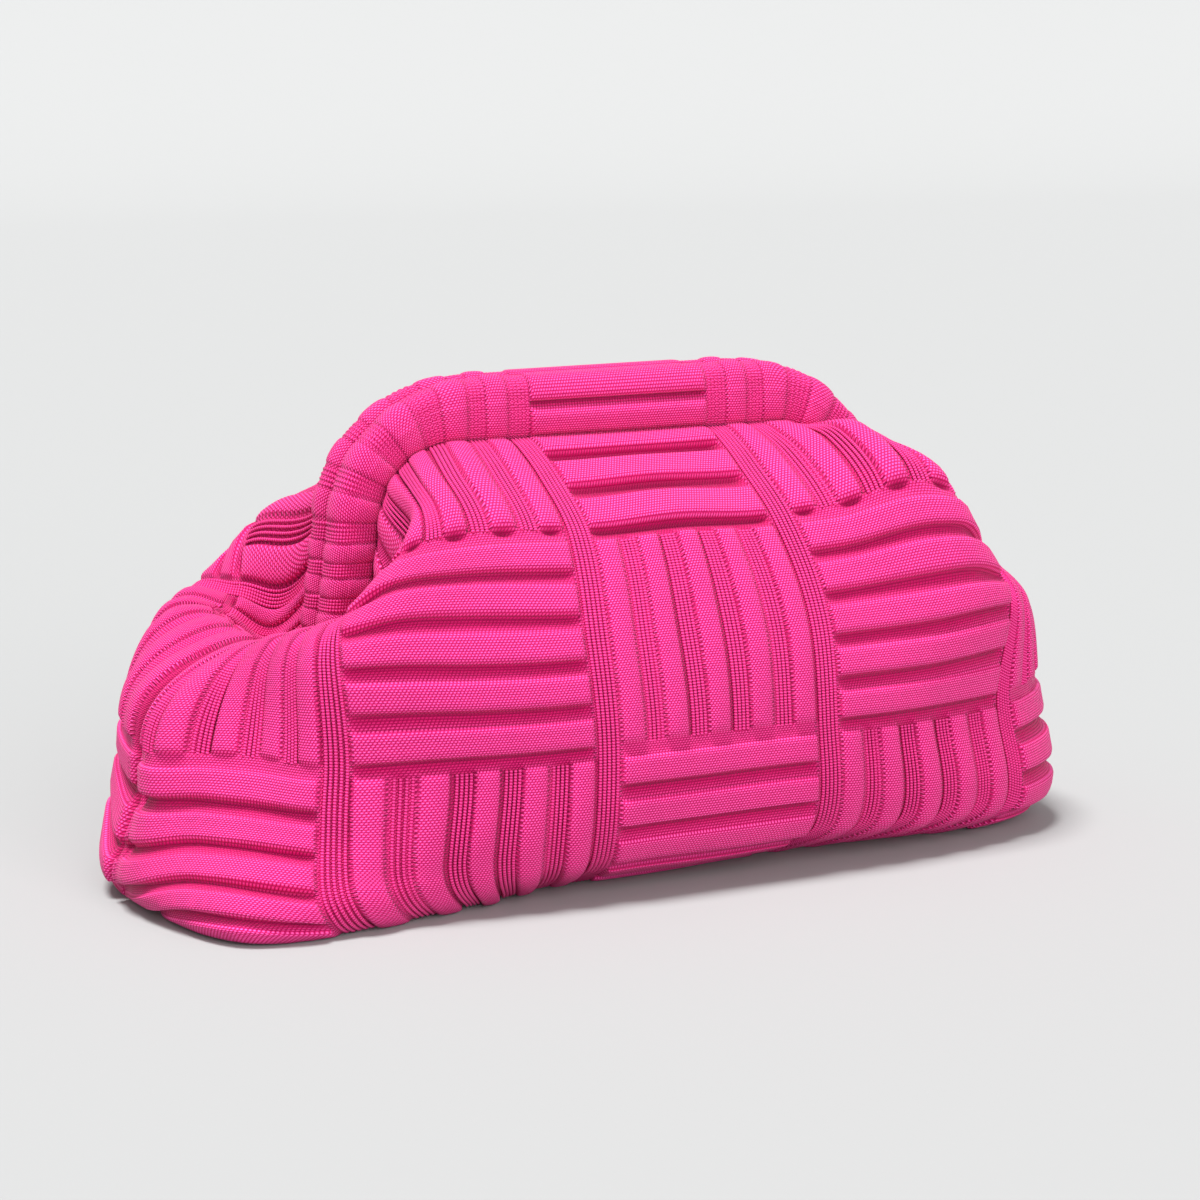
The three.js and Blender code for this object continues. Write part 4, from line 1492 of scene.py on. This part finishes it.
class NodeGraph:
    """A Geometry Nodes tree with named inputs, run once over a piece."""

    def __init__(self, name: str) -> None:
        """Starts a tree with geometry in and out."""
        self.tree = bpy.data.node_groups.new(name, "GeometryNodeTree")
        self.tree.interface.new_socket("Geometry", in_out="INPUT", socket_type="NodeSocketGeometry")
        self.tree.interface.new_socket("Geometry", in_out="OUTPUT", socket_type="NodeSocketGeometry")
        self.entry = self.tree.nodes.new("NodeGroupInput")
        self.values: dict[str, Any] = {}

    def size(self, name: str, value: Any, kind: str = "NodeSocketFloat") -> bpy.types.NodeSocket:
        """Adds a named input with its value and returns its socket."""
        socket = self.tree.interface.new_socket(name, in_out="INPUT", socket_type=kind)
        self.values[socket.identifier] = value
        return self.entry.outputs[name]

    def node(self, kind: str, settings: dict[str, Any], inputs: dict[Any, Any]) -> bpy.types.Node:
        """Adds a node of a kind with its settings and inputs."""
        return add_node(self.tree, kind, settings, inputs)

    def close(self, last: bpy.types.Node) -> None:
        """Ends the tree: realizes the geometry of its last node and sets the material."""
        real = self.node("GeometryNodeRealizeInstances", {}, {"Geometry": last.outputs[0]})
        material = self.size("Material", None, "NodeSocketMaterial")
        finish = self.node("GeometryNodeSetMaterial", {}, {"Geometry": real.outputs[0], "Material": material})
        end = self.tree.nodes.new("NodeGroupOutput")
        self.tree.links.new(finish.outputs[0], end.inputs[0])

    def run(self, source: bpy.types.Object, name: str, material: bpy.types.Material) -> bpy.types.Object:
        """Runs the finished tree over a source and keeps the result as a plain mesh.

        Args:
            source: the piece that carries the path, removed afterwards.
            name: name of the finished piece.
            material: material set on the result.

        Returns:
            The finished piece.
        """
        modifier = source.modifiers.new(name, "NODES")
        modifier.node_group = self.tree
        for identifier, value in self.values.items():
            modifier[identifier] = material if value is None else value
        evaluated = source.evaluated_get(bpy.context.evaluated_depsgraph_get())
        mesh = bpy.data.meshes.new_from_object(evaluated)
        mesh.name = name
        bpy.data.objects.remove(source)
        return add_object(name, mesh)


def path_object(name: str, lines: Sequence[np.ndarray]) -> bpy.types.Object:
    """Adds an object of loose edges along lines.

    Args:
        name: name of the object.
        lines: points of each line in metres.

    Returns:
        The linked object.
    """
    spots: list[list[float]] = []
    edges: list[tuple[int, int]] = []
    for line in lines:
        first = len(spots)
        spots += line.tolist()
        edges += [(first + k, first + k + 1) for k in range(len(line) - 1)]
    mesh = bpy.data.meshes.new(name)
    mesh.from_pydata(spots, edges, [])
    return add_object(name, mesh)


@dataclass
class FineWales:
    """Fine single wales that fill the dividers and the grooves between upright ribs."""

    form: ClothForm
    ribs: BasketRibs
    radius: float = 0.64
    sides: int = 5
    step: float = 2.4
    divider_wales: int = 5
    groove_wales: int = 4
    edge_gap: float = 1.1
    dark_line: float = 2.0
    raise_by: float = -0.3
    casing_raise: float = -0.45
    first_drop: float = 1.0
    last_drop: float = 192.0
    row_margin: float = 0.5
    casing_margin: float = 0.03
    # Painted shade level of the wales, which lie low in the grooves
    ridge_shade: float = 0.4

    def places(self, column: int) -> tuple[list[float], list[float]]:
        """Places of the wales over one tile column.

        Args:
            column: tile column round the bag.

        Returns:
            Loops of the wales in its left divider, and of those in its grooves.
        """
        half = self.ribs.divider / 2
        gap = self.edge_gap / self.ribs.tile_width
        inner = 1.0 - self.ribs.divider
        groove = self.ribs.upright_groove
        pitch = self.ribs.pitch(self.ribs.ribs_across, groove) * inner
        line = self.dark_line / self.ribs.tile_width
        dividers = np.linspace(column - half + line, column + half - gap, self.divider_wales).tolist()
        grooves: list[float] = []
        for rib in range(self.ribs.ribs_across - 1):
            first = column + half + (rib + 1.0 - groove) * pitch
            last = column + half + (rib + 1.0) * pitch
            grooves += np.linspace(first + line, last - gap, self.groove_wales).tolist()
        return dividers, grooves

    def body_lines(self, body: KnitBody) -> list[np.ndarray]:
        """Paths of the wales on the bag.

        Args:
            body: the bag, whose sway they follow.

        Returns:
            Points of each wale in metres.
        """
        found = []
        for column in range(LOOP_COLUMNS):
            dividers, grooves = self.places(column)
            if column % FACE_COLUMNS:
                found += [self.path(body, loop, self.first_drop, self.last_drop) for loop in dividers]
            for number, row in enumerate(self.ribs.rows):
                if self.ribs.run(column, number) is RibRun.UPRIGHT:
                    start = row.start + self.row_margin
                    end = min(row.end + self.row_margin, self.last_drop)
                    found += [self.path(body, loop, start, end) for loop in grooves]
        return found

    def path(self, body: KnitBody, loop: float, start: float, end: float) -> np.ndarray:
        """Path of one wale on the bag, kept above the floor.

        Args:
            body: the bag.
            loop: place of the wale round the bag.
            start: drop where it starts.
            end: drop where it ends.

        Returns:
            Points in metres.
        """
        line = body.wale_line(loop, start, end, self.step, self.raise_by)
        line[:, 2] = np.maximum(line[:, 2], self.radius * MM)
        return line

    def casing_lines(self, casing: MouthCasing) -> list[np.ndarray]:
        """Paths of the wales on one casing.

        Args:
            casing: the casing.

        Returns:
            Points of each wale in metres.
        """
        found = []
        first = 0 if casing.face is Face.FRONT else FACE_COLUMNS
        for column in range(first, first + FACE_COLUMNS):
            dividers, grooves = self.places(column)
            loops = dividers + ([] if self.ribs.run(column, 0) is RibRun.LEVEL else grooves)
            for loop in loops:
                at = float(self.form.column_at(np.array(loop)))
                if abs(at) < casing.end_column - self.casing_margin:
                    found.append(casing.wale_line(at, self.casing_raise))
        return found

    def build(self, name: str, lines: Sequence[np.ndarray], material: bpy.types.Material) -> bpy.types.Object:
        """Builds wales as thin rods along their paths.

        Args:
            name: name of the finished piece.
            lines: points of each path in metres.
            material: knit material of the wales.

        Returns:
            The finished piece.
        """
        graph = NodeGraph(f"{name}_rods")
        curve = graph.node("GeometryNodeMeshToCurve", {}, {"Mesh": graph.entry.outputs["Geometry"]})
        along = graph.node("GeometryNodeSplineParameter", {}, {})
        stored = graph.node(
            "GeometryNodeStoreNamedAttribute",
            {"data_type": "FLOAT", "domain": "POINT"},
            {"Geometry": curve.outputs[0], "Name": "along", "Value": along.outputs["Length"]},
        )
        radius = graph.size("Wale radius", self.radius * MM)
        sides = graph.size("Wale sides", self.sides, "NodeSocketInt")
        sizes = {"Radius": radius, "Resolution": sides}
        ring = graph.node("GeometryNodeCurvePrimitiveCircle", {"mode": "RADIUS"}, sizes)
        ends = {"Curve": stored.outputs[0], "Profile Curve": ring.outputs[0], "Fill Caps": True}
        rods = graph.node("GeometryNodeCurveToMesh", {}, ends)
        shaded = graph.node("GeometryNodeSetShadeSmooth", {}, {"Geometry": rods.outputs[0]})
        graph.close(shaded)
        piece = graph.run(path_object(f"{name}_paths", lines), name, material)
        store_values(piece.data, "ridge_shade", np.full(len(piece.data.vertices), self.ridge_shade))
        return piece


@dataclass
class ClaspFrame:
    """The hidden arched bar, which keeps its solid and is dressed in steel."""

    node: str = "clasp_frame"

    def dress(self, frame: dict[str, Any]) -> None:
        """Puts the steel finish on the bar."""
        slots = frame["nodes"][self.node].data.materials
        slots.clear()
        slots.append(SteelFinish().make())


@dataclass
class Studio:
    """Camera, floor and soft light.

    Each sun gives the direction towards it, its power and its width in degrees.
    """

    place: tuple[float, float, float] = (-0.5202, -0.9921, 0.2801)
    aim_pixels: tuple[float, float] = (600.0, 600.0)
    origin_pixels: tuple[float, float] = (602.0, 837.0)
    focal_pixels: float = 3200.0
    picture: float = 1200.0
    sensor: float = 36.0
    azimuth: float = -28.0
    elevation: float = 14.0
    suns: tuple[tuple[tuple[float, float, float], float, float], ...] = (
        ((-0.22, -0.02, 0.95), 5.2, 20.0),
        ((-0.06, -0.92, 0.34), 2.7, 50.0),
    )
    sun_colour: tuple[float, float, float] = (0.99, 1.0, 1.0)
    room_light: float = 0.46
    room_colour: Colour = (1.0, 1.0, 1.0, 1.0)
    floor_reach: float = 8.0
    floor_gap: float = 0.0004
    sweep_start: float = 4.0
    sweep_radius: float = 3.0
    sweep_height: float = 6.0
    sweep_steps: int = 16

    def camera(self) -> bpy.types.Object:
        """Sets up the photograph's camera.

        Returns:
            The camera.
        """
        turn = math.radians(self.azimuth)
        tilt = math.radians(self.elevation)
        back = Vector((math.sin(turn) * math.cos(tilt), -math.cos(turn) * math.cos(tilt), math.sin(tilt)))
        right = Vector((math.cos(turn), math.sin(turn), 0.0))
        up = back.cross(right)
        across = self.aim_pixels[0] - self.origin_pixels[0]
        above = self.origin_pixels[1] - self.aim_pixels[1]
        look = -back * self.focal_pixels + right * across + up * above
        data = bpy.data.cameras.new("camera")
        data.sensor_width = self.sensor
        data.lens = self.focal_pixels / self.picture * self.sensor
        camera = add_object("camera", data)
        camera.location = self.place
        camera.rotation_euler = look.to_track_quat("-Z", "Y").to_euler()
        bpy.context.scene.camera = camera
        return camera

    def light(self) -> None:
        """Sets the soft lights and fills the room with pale light."""
        for number, (source, power, width) in enumerate(self.suns):
            data = bpy.data.lights.new(f"soft_light_{number}", "SUN")
            data.energy = power
            data.color = self.sun_colour
            data.angle = math.radians(width)
            lamp = add_object(data.name, data)
            lamp.rotation_euler = (-Vector(source)).to_track_quat("-Z", "Y").to_euler()
        world = bpy.data.worlds.new("pale_room")
        world.use_nodes = True
        room = world.node_tree.nodes["Background"]
        room.inputs["Color"].default_value = self.room_colour
        room.inputs["Strength"].default_value = self.room_light
        bpy.context.scene.world = world
        bpy.context.scene.view_settings.view_transform = "Standard"

    def floor(self) -> bpy.types.Object:
        """Lays the floor, swept up far behind the bag.

        Returns:
            The floor.
        """
        angles = np.linspace(0.0, math.pi / 2, self.sweep_steps)
        line = [(-self.floor_reach, 0.0)]
        for angle in angles:
            back = self.sweep_start + self.sweep_radius * math.sin(angle)
            line.append((back, self.sweep_radius * (1.0 - math.cos(angle))))
        line.append((line[-1][0], self.sweep_height))
        sides = (-self.floor_reach, self.floor_reach)
        spots = np.array([(x, y, z - self.floor_gap) for y, z in line for x in sides])
        faces = [(2 * k, 2 * k + 1, 2 * k + 3, 2 * k + 2) for k in range(len(line) - 1)]
        floor = mesh_object("pale_floor", spots, faces)
        floor.data.materials.append(FloorFinish().make())
        return floor


def corners(box: tuple[Vector, Vector]) -> list[list[float]]:
    """Plain lists of a box's lowest and highest corners."""
    return [[float(value) for value in corner] for corner in box]


def main() -> None:
    """Builds the bag over its frame and reports each piece."""
    logging.basicConfig(level=logging.INFO, format="%(name)s %(message)s")
    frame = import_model()
    form = ClothForm()
    ribs = BasketRibs()
    knit = KnitFinish("pink_rib_knit").make()
    strand = KnitFinish("pink_fine_wale", KnitPattern.STRAND, course=1.0, stitch_depth=0.25, gap_shade_share=0.5)
    wale_knit = strand.make()
    clasp = ClaspFrame()

    bag = KnitBody(form, ribs)
    body = bag.build()
    body.data.materials.append(knit)
    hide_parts("knit_body")
    wales = FineWales(form, ribs)
    body_wales = wales.build("bag_fine_wales", wales.body_lines(bag), wale_knit)

    pieces = [body, body_wales]
    for face in Face:
        side = face.name.lower()
        maker = MouthCasing(form, ribs, face)
        casing = maker.build()
        casing.data.materials.append(knit)
        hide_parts(f"{side}_casing")
        casing_wales = wales.build(f"{side}_casing_fine_wales", wales.casing_lines(maker), wale_knit)
        pieces += [casing, casing_wales]

    for piece in pieces:
        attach(piece, BODY)
        piece.data.calc_loop_triangles()
        LOG.info("%s: %d triangles", piece.name, len(piece.data.loop_triangles))

    clasp.dress(frame)
    LOG.info("%s: dressed in satin steel", clasp.node)

    studio = Studio()
    studio.floor()
    studio.light()
    studio.camera()


if __name__ == "__main__":
    main()
